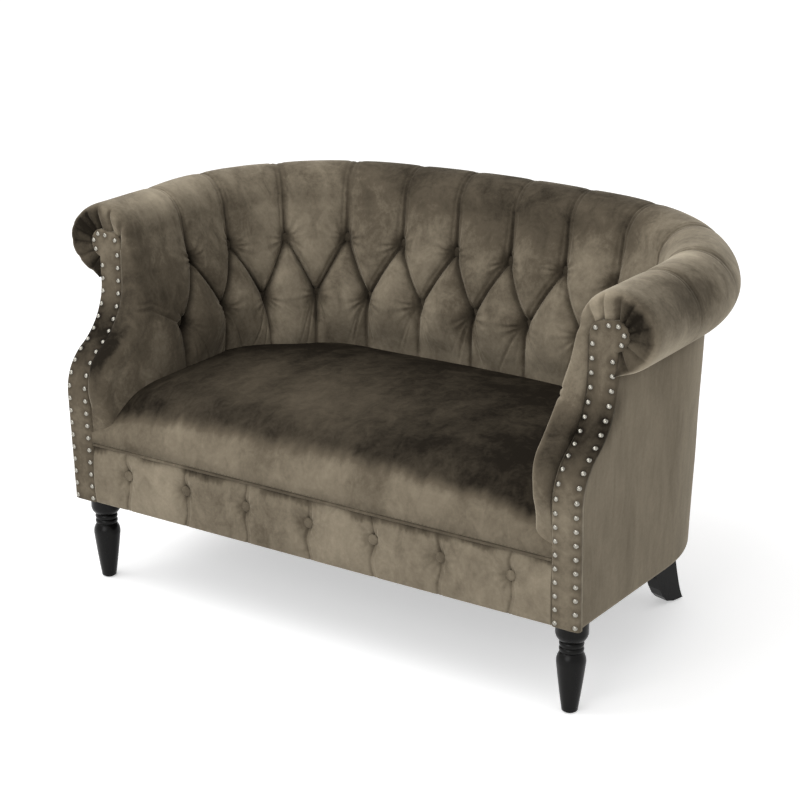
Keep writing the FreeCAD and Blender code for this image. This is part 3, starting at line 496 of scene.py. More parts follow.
def brushed_pile():
    """Mask of the patches in which a velvet's pile lies one way or the other."""
    tree, source, result = new_group(
        "Brushed pile",
        [("NodeSocketVector", "Vector", None), ("NodeSocketVector", "Stretch", (1.0, 1.0, 1.0)),
         ("NodeSocketFloat", "Lie", 0.5), ("NodeSocketFloat", "Patches", 0.5)],
        [("NodeSocketFloat", "Mask")])
    vector = source.outputs["Vector"]
    mapping = add(tree, "ShaderNodeMapping", {"Vector": vector, "Scale": source.outputs["Stretch"]})
    stretch = mapping.outputs[0]
    wide = noise_node(tree, stretch, Scale=5.0, Detail=3.0, Roughness=0.55, Distortion=0.6)
    close = noise_node(tree, stretch, Scale=26.0, Detail=5.0, Roughness=0.62, Distortion=0.9)
    fine = noise_node(tree, vector, Scale=140.0, Detail=3.0, Roughness=0.7)
    both = math_node(tree, "MULTIPLY", wide, 0.62)
    both = math_node(tree, "ADD", both, math_node(tree, "MULTIPLY", close, 0.42))
    both = math_node(tree, "ADD", both, math_node(tree, "MULTIPLY", fine, 0.20))
    swing = math_node(tree, "MULTIPLY", math_node(tree, "SUBTRACT", both, 0.62), source.outputs["Patches"])
    tree.links.new(math_node(tree, "ADD", source.outputs["Lie"], swing), result.inputs["Mask"])
    return tree


def pile_relief():
    """Normal of short pile: very fine tips over a faint unevenness."""
    tree, source, result = new_group(
        "Pile relief",
        [("NodeSocketVector", "Vector", None), ("NodeSocketFloat", "Depth", 0.2)],
        [("NodeSocketVector", "Normal")])
    tips = noise_node(tree, source.outputs["Vector"], Scale=1500.0, Detail=2.0)
    rows = noise_node(tree, source.outputs["Vector"], Scale=210.0, Detail=4.0, Roughness=0.6)
    height = math_node(tree, "ADD", math_node(tree, "MULTIPLY", tips, 0.35), rows)
    depth = source.outputs["Depth"]
    bump = add(tree, "ShaderNodeBump", {"Height": height, "Strength": depth}, Distance=0.0012)
    tree.links.new(bump.outputs[0], result.inputs["Normal"])
    return tree


def new_material(name):
    """Material with a Principled shader; returns it with its tree, shader and object coordinates."""
    material = bpy.data.materials.new(name)
    material.use_nodes = True
    tree = material.node_tree
    shader = tree.nodes["Principled BSDF"]
    place = tree.nodes.new("ShaderNodeTexCoord").outputs["Object"]
    return material, tree, shader, place


def set_shader(shader, **values):
    for key, value in values.items():
        label = key.replace("_", " ").title().replace("Ior", "IOR")
        shader.inputs[label].default_value = value


def ramp(tree, factor, stops):
    """Colour ramp with stops of (place, colour)."""
    node = tree.nodes.new("ShaderNodeValToRGB")
    tree.links.new(factor, node.inputs[0])
    elements = node.color_ramp.elements
    while len(elements) < len(stops):
        elements.new(0.5)
    for element, (place, tint) in zip(elements, stops):
        element.position = place
        element.color = (*tint, 1.0)
    return node.outputs["Color"]


def velvet(name, looks, patches, lie, sheen, stretch):
    """Short-pile velvet whose pile is brushed into lighter and darker patches."""
    material, tree, shader, place = new_material(name)
    groups = bpy.data.node_groups
    # The attribute holds the pile's lie together with painted shade and light; the ramp below turns both into
    # colour and the sheen follows them.
    nap_and_shade = add(tree, "ShaderNodeAttribute", attribute_name="nap_and_shade")
    laid = math_node(tree, "ADD", nap_and_shade.outputs["Fac"], lie)
    brushed = add(tree, "ShaderNodeGroup", {"Vector": place, "Lie": laid}, node_tree=groups["Brushed pile"],
                  Patches=patches, Stretch=stretch)
    mask = brushed.outputs["Mask"]
    tint = ramp(tree, mask, [(0.0, looks.pile_dark), (MID_PILE, looks.pile_mid), (1.0, looks.pile_light)])
    relief = add(tree, "ShaderNodeGroup", {"Vector": place}, node_tree=groups["Pile relief"], Depth=0.16)
    raised = math_node(tree, "MULTIPLY", mask, sheen / MID_PILE)
    raised.node.use_clamp = True
    tree.links.new(tint, shader.inputs["Base Color"])
    tree.links.new(relief.outputs["Normal"], shader.inputs["Normal"])
    tree.links.new(raised, shader.inputs["Sheen Weight"])
    set_shader(shader, roughness=0.82, sheen_roughness=0.38, specular_ior_level=0.03)
    shader.inputs["Sheen Tint"].default_value = (*looks.sheen, 1.0)
    return material


def grained(name, low, high, scale, roughness, metallic=0.0):
    """Hard or plain material with a fine grain in its colour, roughness and relief."""
    material, tree, shader, place = new_material(name + "_finish")
    stretch = add(tree, "ShaderNodeMapping", {"Vector": place}, Scale=scale).outputs[0]
    grain = noise_node(tree, stretch, Scale=1.0, Detail=6.0, Roughness=0.6, Distortion=0.4)
    tint = ramp(tree, grain, [(0.3, low), (0.7, high)])
    gloss = add(tree, "ShaderNodeMapRange", {"Value": grain})
    gloss.inputs["To Min"].default_value = roughness * 0.8
    gloss.inputs["To Max"].default_value = roughness * 1.25
    bump = add(tree, "ShaderNodeBump", {"Height": grain}, Strength=0.08, Distance=0.001)
    tree.links.new(tint, shader.inputs["Base Color"])
    tree.links.new(gloss.outputs[0], shader.inputs["Roughness"])
    tree.links.new(bump.outputs[0], shader.inputs["Normal"])
    set_shader(shader, metallic=metallic)
    return material


def darker(tint, share):
    return tuple(channel * share for channel in tint)


# Pieces

class LOVESEAT_OT_materials(bpy.types.Operator):
    """Make the velvet, lacquer, nickel and hidden materials"""
    bl_idname = "loveseat.materials"
    bl_label = "Materials"

    def execute(self, context):
        looks = context.scene.loveseat_looks
        brushed_pile()
        pile_relief()
        velvet("wall_velvet", looks, patches=1.2, lie=0.5, sheen=0.42, stretch=(1.0, 1.3, 0.8))
        velvet("seat_velvet", looks, patches=0.75, lie=0.5, sheen=0.0, stretch=(1.4, 0.9, 1.0))
        velvet("front_velvet", looks, patches=1.0, lie=0.5, sheen=0.36, stretch=(1.0, 1.0, 0.7))
        velvet("cover_velvet", looks, patches=0.62, lie=0.58, sheen=0.36, stretch=(1.6, 1.6, 0.4))
        lacquer = grained("leg_lacquer", darker(looks.lacquer, 0.5), looks.lacquer, (60, 60, 9), 0.28)
        set_shader(lacquer.node_tree.nodes["Principled BSDF"], specular_ior_level=0.14)
        grained("nail_nickel", darker(looks.nickel, 0.6), looks.nickel, (300, 300, 300), 0.26, metallic=1.0)
        grained("frame_wood", darker(looks.timber, 0.65), looks.timber, (9, 60, 60), 0.6)
        grained("fitting_steel", darker(looks.steel, 0.8), looks.steel, (200, 200, 200), 0.35, metallic=1.0)
        grained("inner_cloth", darker(looks.cloth, 0.6), looks.cloth, (700, 700, 700), 0.9)
        grained("foam", darker(looks.foam, 0.8), looks.foam, (400, 400, 400), 0.95)
        grained("glide_plastic", (0.012, 0.012, 0.012), (0.03, 0.03, 0.03), (150, 150, 150), 0.5)
        return {"FINISHED"}


def tuft_cells(wall, along, height):
    """How full the padding is at each place, the distance to its crease, and whether it is an upper cell."""
    pitch = wall.tuft_pitch
    half = pitch / 2
    run = np.abs(along)
    from_lower = np.abs((run / pitch + 0.5) % 1.0 - 0.5) * pitch
    climb = np.clip((height - wall.lower_height) / (wall.upper_height - wall.lower_height), 0, 1)
    upper_width = half * climb
    lower_width = half - upper_width
    upper = from_lower < upper_width
    width = np.where(upper, upper_width, lower_width)
    centre_gap = np.where(upper, from_lower, half - from_lower)
    share = np.clip(centre_gap / np.maximum(width, 1e-6), 0, 1)
    body = np.clip(width / half, 0, 1) ** 0.42
    return puff(share, 0.43) * body, (1 - share) * width, upper


def button_places(wall):
    """Runs and heights of the wall's buttons."""
    lower = [(index * wall.tuft_pitch, wall.lower_height) for index in range(-wall.tufts, wall.tufts + 1)]
    upper = [((index + 0.5) * wall.tuft_pitch, wall.upper_height) for index in range(-wall.tufts, wall.tufts)]
    return lower + upper


def button_pits(wall, along, height):
    """Depth of the pits round the wall's buttons, with the wrinkles that run out from them."""
    depth = np.zeros_like(height)
    for button_along, button_height in button_places(wall):
        across = along - button_along
        up = height - button_height
        reach = np.hypot(across, up)
        bearing = np.arctan2(up, across)
        pit = wall.pit_depth * np.exp(-(reach / wall.pit_radius) ** 2)
        uneven_spokes = 0.55 + 0.45 * np.cos(3 * bearing + 23 * button_along)
        spokes = np.cos(13 * bearing + 40 * button_along) * uneven_spokes
        wrinkle = wall.wrinkle * spokes * ease((reach - 0.008) / 0.012) * np.exp(-(reach / 0.034) ** 2)
        depth += np.where(reach < 0.07, pit - wrinkle, 0)
    return depth


def pull_creases(wall, run, height):
    """Two creases that rise towards the front from the last lower button, as a share."""
    past = run - wall.tufts * wall.tuft_pitch
    above = height - wall.lower_height + 0.006 - 0.60 * past
    second = 0.7 * np.exp(-((above - 0.014) / 0.0036) ** 2) * ease((past - 0.04) / 0.03)
    return (np.exp(-(above / 0.0042) ** 2) + second) * ease(past / 0.02) * ease((0.16 - past) / 0.04)


def face_inset(plan, along, height, meet):
    """Inset of the tufted face, which is plain towards the front of each arm."""
    wall = plan.wall
    run = np.abs(along)
    rise = np.maximum(height - wall.upper_height, 0) / (meet - wall.upper_height)
    level = np.minimum(height, wall.upper_height) + rise * (PUFF_PROFILE[-1][0] - wall.upper_height)
    full = through(PUFF_PROFILE, level)
    creased = through(CREASE_PROFILE, level)
    fullness, crease, upper = tuft_cells(wall, along, height)
    second_fold = np.exp(-((crease - 0.0085) / 0.0024) ** 2) * np.clip(fullness * 3, 0, 1)
    tufted = mix(creased, full, fullness) - wall.second_fold * second_fold * upper
    tufted -= wall.fan_fold * low_folds(wall, along, height)
    last = wall.tufts * wall.tuft_pitch
    at_last = mix(creased, full, tuft_cells(wall, np.full_like(run, last), height)[0])
    beyond = np.clip((run - last) / (wall.tuft_pitch / 2), 0, 1)
    steep = 1 - ease((height - wall.lower_height) / 0.06)
    open_side = mix(at_last, through(PLAIN_PROFILE, level), mix(ease(beyond), puff(1 - beyond), steep))
    inset = np.where(run < last, tufted, open_side) - button_pits(wall, along, height)
    lowered = ease((wall.lower_height - height) / (wall.lower_height - wall.seat_height))
    inset = inset + wall.corner_fill * plan.bend_fill(along) * lowered
    edge_inset, edge_height = plan.seat_edge(along)
    thinned = np.maximum(wall.seat_inset - edge_inset, 0)
    low = np.clip((wall.waist_height - height) / (wall.waist_height - edge_height), 0, 1)
    high = ease((meet - height) / (meet - wall.waist_height))
    inset = inset - thinned * np.where(height > wall.waist_height, 0.6 * high, mix(0.6, 0.55, low))
    return inset - wall.pull_fold * pull_creases(wall, run, height)


def low_folds(wall, along, height):
    """Folds that fan out below the lower buttons, as a share."""
    pitch = wall.tuft_pitch
    index = np.round(along / pitch)
    off = along - index * pitch
    drop = np.maximum(wall.lower_height - height, 0)
    folds = np.zeros_like(drop)
    for place, strength in ((-0.46, 0.6), (-0.24, 1.0), (0.20, 0.9), (0.40, 0.7), (0.62, 0.4)):
        lean = place + 0.06 * np.sin(5.3 * index + 40 * place)
        shown = strength * (0.6 + 0.4 * np.sin(9.1 * index + 70 * place))
        folds += shown * np.exp(-((off - lean * (drop + 0.01)) / (0.0013 + 0.013 * drop)) ** 2)
    return folds * ease(drop / 0.012) * ease((0.11 - drop) / 0.06)


def pleat_depth(wall, along):
    """Depth of the folds that run over the roll from the upper buttons, as a share."""
    pitch = wall.tuft_pitch
    run = np.abs(along)
    off = (run / pitch % 1.0 - 0.5) * pitch
    reach = np.abs(off)
    folds = (np.exp(-reach / 0.0035) + 0.40 * np.exp(-((off - 0.0085) / 0.0022) ** 2)
             + 0.25 * np.exp(-((off + 0.0075) / 0.002) ** 2) + 0.22 * np.exp(-(reach / 0.022) ** 2))
    return np.where(run < (wall.tufts - 0.02) * pitch, folds, 0.0)


class WallGrid:
    """Grid of the tufted wall. Its rows go over the roll, down the face and up again behind it."""
    hidden = 42
    rings = 18

    def __init__(self, wall, front):
        self.wall = wall
        self.front = front
        self.plan = Plan(wall, front)
        self.ogee = Ogee(front)
        self.roll = np.radians(np.linspace(-84, 166, 66))
        self.face = np.linspace(0, 1, 141)[1:]
        self.rows = len(self.roll) + len(self.face) + self.hidden
        self.on_roll = slice(0, len(self.roll))
        self.on_face = slice(len(self.roll), self.rows - self.hidden)
        self.behind = slice(self.rows - self.hidden, self.rows)
        self.bearings = np.concatenate([self.roll, np.full(self.rows - len(self.roll), self.roll[-1])])
        self.tufted_end = wall.tufts * wall.tuft_pitch + 0.010
        half = int(self.tufted_end / (wall.tuft_pitch / 56))
        self.inner = np.linspace(-self.tufted_end, self.tufted_end, 2 * half + 1)
        self.base = np.broadcast_to(self.inner, (self.rows, len(self.inner)))
        self.out, self.up = self.section(self.base)

    def section(self, along):
        """Out and height of every row, for an array of runs shaped (rows, columns)."""
        roll = self.roll_section(along[self.on_roll])
        face = self.face_section(along[self.on_face], -roll[0][-1:])
        back = self.back_section(along[self.behind])
        return tuple(np.concatenate(parts) for parts in zip(roll, face, back))

    def roll_section(self, along):
        wall = self.wall
        bearing = self.roll[:, None]
        fade = 0.55 * ease((bearing + 0.2) / 1.4) + 0.45 * ease((bearing - 1.6) / 1.4)
        radius = wall.roll_radius - wall.roll_pleat * pleat_depth(wall, along) * fade
        radius = radius + wall.roll_hang * ease((math.radians(45) - bearing) / math.radians(75))
        outer_side = np.exp(-((bearing - 0.1) / 0.7) ** 2)
        near_end = ease((np.abs(along) - self.plan.arm_run + 0.16) / 0.15)
        radius = radius + wall.end_flare * outer_side * near_end
        return radius * np.cos(bearing), self.plan.roll_height(along) + radius * np.sin(bearing)

    def face_section(self, along, roll_inset):
        share = self.face[:, None]
        meet = self.plan.roll_height(along) + self.wall.roll_radius * math.sin(self.roll[-1])
        up = mix(meet, self.plan.seat_edge(along)[1] - 0.022, share)
        return -mix(roll_inset, face_inset(self.plan, along, up, meet), ease(share * 9)), up

    def back_section(self, along):
        wall = self.wall
        under = self.plan.roll_height(along) - wall.roll_radius * 0.87
        steps = np.minimum(np.arange(self.hidden) / 2, 1.0)[:, None]
        lift = np.maximum(np.linspace(-2 / (self.hidden - 3), 1, self.hidden), 0)[:, None]
        return mix(-self.plan.seat_edge(along)[0], -wall.pad_back, steps), mix(wall.pad_floor, under, lift)

    def front_end(self):
        """Points from the last tuft of the right arm to the panel's edge, round the padding's front end."""
        wall = self.wall
        base_depth = self.front.panel_thickness * 0.5 + wall.roll_round
        ends = np.linspace(0, 1, 45)[1:][None, :]
        level = self.section(np.full((self.rows, 1), self.plan.arm_run))[1]
        for _ in range(2):
            stop = self.plan.along_at(self.ogee.depth(level) + base_depth)
            runs = mix(self.tufted_end, stop, ends)
            outs, ups = self.section(runs)
            level = ups[:, -1:]
        out, up = outs[:, -1], ups[:, -1]
        edge_out, edge_up = panel_edge(wall, self.front, self.roll, out, up)
        ring_share = ease((len(self.roll) + 6 - np.arange(self.rows)) / 12)
        proud = wall.flank_swell * ease((up - wall.flank_foot) / 0.05)
        proud += wall.waist_swell * np.exp(-((up - wall.flank_waist) / 0.05) ** 2)
        proud[self.behind] = 0
        gathers = gather_depth(self.bearings) * (np.arange(self.rows) < len(self.roll) + 8)
        columns = [self.plan.place(runs, outs, ups)]
        for step in np.linspace(0, 1, self.rings + 1)[1:]:
            turn = step * math.pi / 2 * 1.12
            wide = max(math.cos(turn), 0) ** 0.75
            ring_up = mix(edge_up, up, wide)
            ring_swell = wall.end_swell * math.sin(math.pi * min(step / 0.9, 1) ** 0.85)
            flank_swell = proud * ease(step / 0.5) * (1 - ease((step - 0.84) / 0.16))
            forward = wall.roll_round * math.sin(turn) ** 0.75 + mix(flank_swell, ring_swell, ring_share)
            forward = forward - wall.end_gather * gathers * ease(step / 0.7) * (1.25 - 0.5 * step)
            along = self.plan.along_at(self.ogee.depth(ring_up) + base_depth - forward)
            columns.append(self.plan.place(along, mix(edge_out, out, wide), ring_up)[:, None])
        return np.concatenate(columns, 1)

    def points(self):
        right = self.front_end()
        left = right[:, ::-1] * MIRROR
        points = np.concatenate([left, self.plan.place(self.base, self.out, self.up), right], 1)
        points = points + uneven(points)
        seam = slice(len(self.roll) - 8, len(self.roll) + 9)
        for _ in range(8):
            above = points[seam.start - 1:seam.stop - 1]
            below = points[seam.start + 1:seam.stop + 1]
            points[seam] = (above + 2 * points[seam] + below) / 4
        return points

    def naps_and_shade(self, points, pile):
        """Lie of the pile at each point, with painted shade and light added."""
        wall = self.wall
        end = (points.shape[1] - len(self.inner)) // 2
        along = np.pad(self.inner, end, mode="edge")
        run = np.abs(along)
        bearings = self.bearings[:, None]
        lower = ease((np.arange(self.rows) - len(self.roll) + 30) / 70)[:, None]
        naps_and_shade = 0.10 * broad_rumple(points, 2, 7.0, 3.0) + 0.07 * broad_rumple(points, 2, 15.0, 7.0)
        # Painted shade in the creases and round the buttons
        naps_and_shade[:, end:-end] -= pile.crease * crease_and_pit_shading(wall, self.base, self.up, len(self.roll))
        naps_and_shade += 0.06 * np.sin(12.9 * np.floor(run / wall.tuft_pitch + 0.5))
        # Painted shade: the roll is darkest over the middle of the back, most of all on its inner side, and
        # the face on the left arm is darker
        middle_lie_and_shade = pile.roll_middle - pile.roll_inside_shade * ease((bearings - 0.7) / 0.8)
        roll_lie_and_shade = mix(middle_lie_and_shade, pile.roll_arms, ease((run - 0.10) / 0.45))
        face_lie_and_shade = pile.face - pile.left_face_shade * ease((-along - 0.45) / 0.25)
        naps_and_shade += mix(roll_lie_and_shade, face_lie_and_shade, lower)
        naps_and_shade += 0.09 * broad_rumple(points, 2, 10.0, 13.0) * (1 - lower)
        # Light and dark stripes run along the arms' rolls: partly brushed pile, partly painted highlight on
        # the top and painted shade on the outer side
        stripes = pile.stripes * np.sin(2.4 * bearings + 3.05) * (1 - lower)
        stripes -= 0.07 * np.exp(-((bearings - 0.25) / 0.5) ** 2)
        naps_and_shade += stripes * ease((run - 0.45) / 0.2)
        naps_and_shade[self.on_roll] = np.maximum(naps_and_shade[self.on_roll], pile.roll_darkest)
        # Painted shade: the front ends are dark round the panels' tops and in the folds gathered there, and
        # beside the panels' waists
        rings = np.arange(self.rings)[None, :]
        dark = pile.end_top_shade * ease((2.2 - self.roll) / 1.2) + 0.10 * ease((0.4 - self.roll) / 0.8)
        darken_ends(naps_and_shade, self.on_roll, dark[:, None] * ease((rings - 3) / 5))
        darken_ends(naps_and_shade, self.on_roll, 0.20 * gather_depth(self.roll)[:, None] * ease((rings - 2) / 6))
        flank = np.exp(-((points[self.on_face, -1:, 2] - 0.45) / 0.055) ** 2)
        darken_ends(naps_and_shade, self.on_face, pile.end_waist_shade * flank * ease((rings - 4) / 7))
        return naps_and_shade


class LOVESEAT_OT_wall(bpy.types.Operator):
    """Make the tufted padding of the arms and back with the roll along its top"""
    bl_idname = "loveseat.wall"
    bl_label = "Tufted wall"

    def execute(self, context):
        grid = WallGrid(context.scene.loveseat_wall, context.scene.loveseat_front)
        points = grid.points()
        faces = grid_faces(grid.rows, points.shape[1], close_rows=True)
        obj = make_mesh("tufted_wall", points, faces, grid.naps_and_shade(points, context.scene.loveseat_pile))
        mend(obj)
        mount_piece(obj, bpy.data.materials["wall_velvet"], "velvet", "tufted_padding", "top_roll", fill=0.9)
        return {"FINISHED"}


def darken_ends(naps_and_shade, rows, shade):
    """Paints shade on some rows at both front ends, by an amount whose last column is at the end."""
    columns = shade.shape[1]
    naps_and_shade[rows, -columns:] -= shade
    naps_and_shade[rows, :columns] -= shade[:, ::-1]


def crease_and_pit_shading(wall, along, height, roll_rows):
    """Share of painted shade in the creases: 1 there and up to 2 round the buttons."""
    crease_and_pit_shade = np.exp(-(tuft_cells(wall, along, height)[1] / 0.005) ** 2)
    crease_and_pit_shade[:roll_rows] = 0.8 * np.clip(pleat_depth(wall, along[:roll_rows]), 0, 1)
    for button_along, button_height in button_places(wall):
        reach = np.hypot(along[roll_rows:] - button_along, height[roll_rows:] - button_height)
        crease_and_pit_shade[roll_rows:] += 1.8 * np.exp(-(reach / 0.017) ** 2)
    return np.minimum(crease_and_pit_shade, 2.0)


def uneven(points):
    """Slight hand-made unevenness of the wall."""
    full = 0.0018 * broad_rumple(points, 3, 9.0, 11.0) + 0.0006 * broad_rumple(points, 3, 30.0, 5.0)
    for axis in (0, 1):
        full = (np.roll(full, 1, axis) + full + np.roll(full, -1, axis)) / 3
    return np.stack([0 * full, -full, 0.4 * full], -1)


def panel_edge(wall, front, bearings, outs, ups):
    """Out and height on a panel's edge that each row of the padding is gathered to."""
    half = (front.panel_outer - front.panel_inner) / 2
    middle = front.panel_inner + half - wall.arm_spread
    lobe = (middle + front.lobe_shift, front.round_height + front.lobe_rise)
    edge_out = np.full_like(outs, front.panel_inner - wall.arm_spread)
    edge_up = np.minimum(ups, front.round_height - 0.004)
    limit = math.radians(-72)
    radius = front.lobe_radius - 0.002
    for index, bearing in enumerate(bearings):
        on_lobe = max(bearing, limit)
        lobe_out = lobe[0] + radius * math.cos(on_lobe)
        lobe_up = lobe[1] + radius * math.sin(on_lobe)
        top_out = middle + half * math.cos(bearing)
        top_up = front.round_height + half * math.sin(bearing)
        share = float(ease((bearing - math.radians(80)) / math.radians(40)))
        spot = (mix(lobe_out, top_out, share), mix(lobe_up, top_up, share))
        down = float(np.clip((limit - bearing) / (limit - bearings[0]), 0, 1))
        foot = (front.panel_outer - wall.arm_spread - 0.004, wall.roll_height - wall.roll_radius - 0.006)
        edge_out[index] = mix(spot[0], foot[0], down)
        edge_up[index] = mix(spot[1], foot[1], down)
    return edge_out, edge_up


def gather_depth(bearings):
    """Folds that run out from a panel's rounded top, as a share."""
    depth = np.zeros_like(bearings)
    for index in range(10):
        middle = math.radians(-66 + 25.5 * index + 7 * math.sin(7.1 * index))
        width = math.radians(3.6 + 1.4 * math.sin(3.3 * index))
        depth += (0.7 + 0.3 * math.sin(5.7 * index)) * np.exp(-((bearings - middle) / width) ** 2)
    return depth


def seat_lie(seat, plan, pile, top):
    """Lie of the seat's pile with painted light on the lip: light there and in a brushed patch left of the
    middle, dark elsewhere.
    """
    strokes = 0.6 * stroked(top, 0.3, 30.0, 31.0) + 0.6 * stroked(top, 0.2, 85.0, 12.0)
    drifts = rumple(top * np.array([0.6, 1.5, 1.0]), 6.0, 8.0)
    back = top[..., 1] - plan.shift - seat.front
    # Painted light: a band along the lip's front edge, with a ragged back edge
    lip = 1 - ease((back - 0.010 - 0.007 * strokes - 0.008 * drifts) / 0.024)
    patch = np.exp(-((top[..., 0] + 0.12) / 0.30) ** 2 - ((back - 0.15) / 0.15) ** 2)
    patch = patch * (1 + 0.25 * strokes + 0.7 * drifts)
    return pile.seat + pile.seat_patch * patch * (1 - lip) + pile.seat_lip_light * lip


class LOVESEAT_OT_seat(bpy.types.Operator):
    """Make the tight crowned seat"""
    bl_idname = "loveseat.seat"
    bl_label = "Seat"

    def execute(self, context):
        seat = context.scene.loveseat_seat
        wall = context.scene.loveseat_wall
        plan = Plan(wall, context.scene.loveseat_front)
        runs = np.linspace(0, plan.along_at(seat.front), 400)
        insets, heights = plan.seat_edge(runs)
        outline = plan.place(runs, -insets + seat.tuck, heights)
        depths_on = (outline[:, 1] - plan.shift)[::-1]
        rising = np.maximum.accumulate(depths_on + np.arange(len(depths_on)) * 1e-7)
        rear = rising[-1]
        lip = seat.front + seat.lip_depth * (1 - np.cos(np.linspace(0, math.pi / 2, 26)))
        depth = np.concatenate([lip, np.linspace(lip[-1], rear - 0.0005, 120)[1:]])
        half = np.interp(depth, rising, outline[::-1, 0])
        edge = np.interp(depth, rising, heights[::-1])
        before_crown = 1 - np.clip((depth - seat.front) / seat.lip_depth, 0, 1)
        rounding = np.sqrt(np.clip(1 - before_crown ** 2, 0, 1))
        share = np.clip((depth - seat.front) / (rear - seat.front), 0, 1)
        nose = seat.floor + seat.lip_nose
        edge = mix(nose, np.maximum(edge - 0.006, nose), rounding)
        level = mix(wall.seat_height, heights[0], share ** 3)
        crown = mix(nose, level + seat.crown * 4 * share * (1 - share), rounding) + 0.003
        across = np.sin(np.linspace(-math.pi / 2, math.pi / 2, 321))
        bulge = (1 - across ** 2)[None, :] ** 0.45
        x = half[:, None] * across[None, :]
        y = depth[:, None] + plan.shift
        z = mix(edge[:, None], crown[:, None], bulge)
        top = np.stack(np.broadcast_arrays(x, y, z), -1)
        top[..., 2] += 0.0022 * broad_rumple(top, 2, 6.0, 2.0) * rounding[:, None] * bulge
        flat = top * np.array([1, 1, 0]) + np.array([0, 0, seat.floor - 0.004])
        under = flat[::-1]
        points = np.concatenate([flat[:1], top, under[:1], under[1:-1:30]], 0)
        naps_and_shade = np.zeros(points.shape[:2])
        naps_and_shade[:1] = 0.06
        naps_and_shade[1:1 + len(top)] = seat_lie(seat, plan, context.scene.loveseat_pile, top)
        obj = make_mesh("crowned_seat", points, grid_faces(len(points), len(across), close_rows=True), naps_and_shade)
        mend(obj, fill=True)
        mount_piece(obj, bpy.data.materials["seat_velvet"], "velvet", "seat_cushion", fill=0.85)
        return {"FINISHED"}


class LOVESEAT_OT_border(bpy.types.Operator):
    """Make the buttoned border under the seat and the welt of two cords above it"""
    bl_idname = "loveseat.border"
    bl_label = "Border and welt"

    def execute(self, context):
        front = context.scene.loveseat_front
        pile = context.scene.loveseat_pile
        plan = Plan(context.scene.loveseat_wall, front)
        end = front.panel_inner - 0.0006
        self.make_border(front, plan, pile, end)
        self.make_welt(front, context.scene.loveseat_seat, plan, pile, end)
        return {"FINISHED"}

    def make_border(self, front, plan, pile, end):
        x = np.linspace(-end, end, 561)[None, :]
        share = np.linspace(0, 1, 62)[:, None]
        up = mix(front.body_floor, front.border_top, share)
        buttons = int((end - 0.01) / front.border_pitch)
        nearest = np.clip(np.round(x / front.border_pitch), -buttons, buttons) * front.border_pitch
        off = x - nearest
        rise = up - front.border_button_height
        reach = np.hypot(off, rise)
        arch = np.sin(math.pi * share) ** 0.5
        swell = front.border_swell * arch * (0.35 + 0.65 * puff(1 - np.abs(off) / (front.border_pitch / 2)))
        bent = off - 0.004 * np.sin(70 * rise + 9 * nearest) * np.clip(np.abs(rise) / 0.03, 0, 1)
        fold = np.exp(-np.abs(bent) / 0.0022) + 0.6 * np.exp(-((bent - 0.0065) / 0.0017) ** 2)
        fold = fold * (0.4 + 0.6 * np.exp(-np.abs(rise) / 0.04))
        pit = np.exp(-(reach / 0.016) ** 2)
        spokes = np.cos(11 * np.arctan2(rise, off) + 3 * nearest) * np.exp(-((reach - 0.022) / 0.010) ** 2)
        ripple = np.sin(37 * x + 3 * np.sin(11 * x)) * arch
        depth = 0.0015 - swell + front.border_fold * fold + front.border_pit * pit
        depth = depth + 0.0008 * spokes + 0.0008 * ripple
        face = np.stack(np.broadcast_arrays(x, depth + plan.shift, up), -1)
        back = face[[-1, 0]].copy()
        back[..., 1] = plan.shift + 0.012
        points = np.concatenate([face, back], 0)
        # The border is darker in ragged patches that hang down from the welt, and gets painted shade in the
        # folds and round the buttons
        ragged = front.border_top - 0.016 + 0.007 * rumple(face * np.array([1.0, 1.0, 0.3]), 45.0, 4.0)
        ragged += 0.005 * rumple(face * np.array([1.0, 1.0, 0.2]), 190.0, 14.0)
        brushed = ease((up - ragged) / 0.016) * ease(0.5 + 2 * stroked(face, 0.0, 11.0, 6.0))
        crease_and_pit_shade = 0.16 * np.exp(-(bent / 0.0028) ** 2) + 0.20 * np.exp(-(reach / 0.013) ** 2)
        naps_and_shade = np.full(points.shape[:2], pile.border)
        naps_and_shade[:len(face)] -= pile.border_below_welt * brushed + crease_and_pit_shade
        faces = grid_faces(len(points), points.shape[1], close_rows=True)
        obj = make_mesh("buttoned_border", points, faces, naps_and_shade)
        mend(obj, fill=True)
        mount_piece(obj, bpy.data.materials["front_velvet"], "velvet", "front_border", fill=0.8)

    def make_welt(self, front, seat, plan, pile, end):
        sides = np.linspace(0, 2 * math.pi, 15)[:-1]
        along = np.linspace(-end, end, 401)
        depth = plan.shift + seat.front + front.welt_radius
        cord = np.array(grid_faces(len(sides), len(along), close_rows=True))
        rows = []
        faces = []
        for lift in (1, 3):
            faces += (cord + len(rows) * len(along)).tolist()
            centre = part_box("seat_welt")[0][2] + lift * front.welt_radius
            ripple = front.welt_radius * (1 + 0.05 * np.sin(along * 900 + lift))
            for side in sides:
                spots = (along, depth + ripple * math.cos(side), centre + ripple * math.sin(side))
                rows.append(np.stack(spots, -1))
        obj = make_mesh("welt_cords", np.stack(rows), faces, np.full((len(rows), len(along)), pile.welt))
        mend(obj, fill=True)
        mount_piece(obj, bpy.data.materials["front_velvet"], "velvet", "seat_welt", fill=1.0)


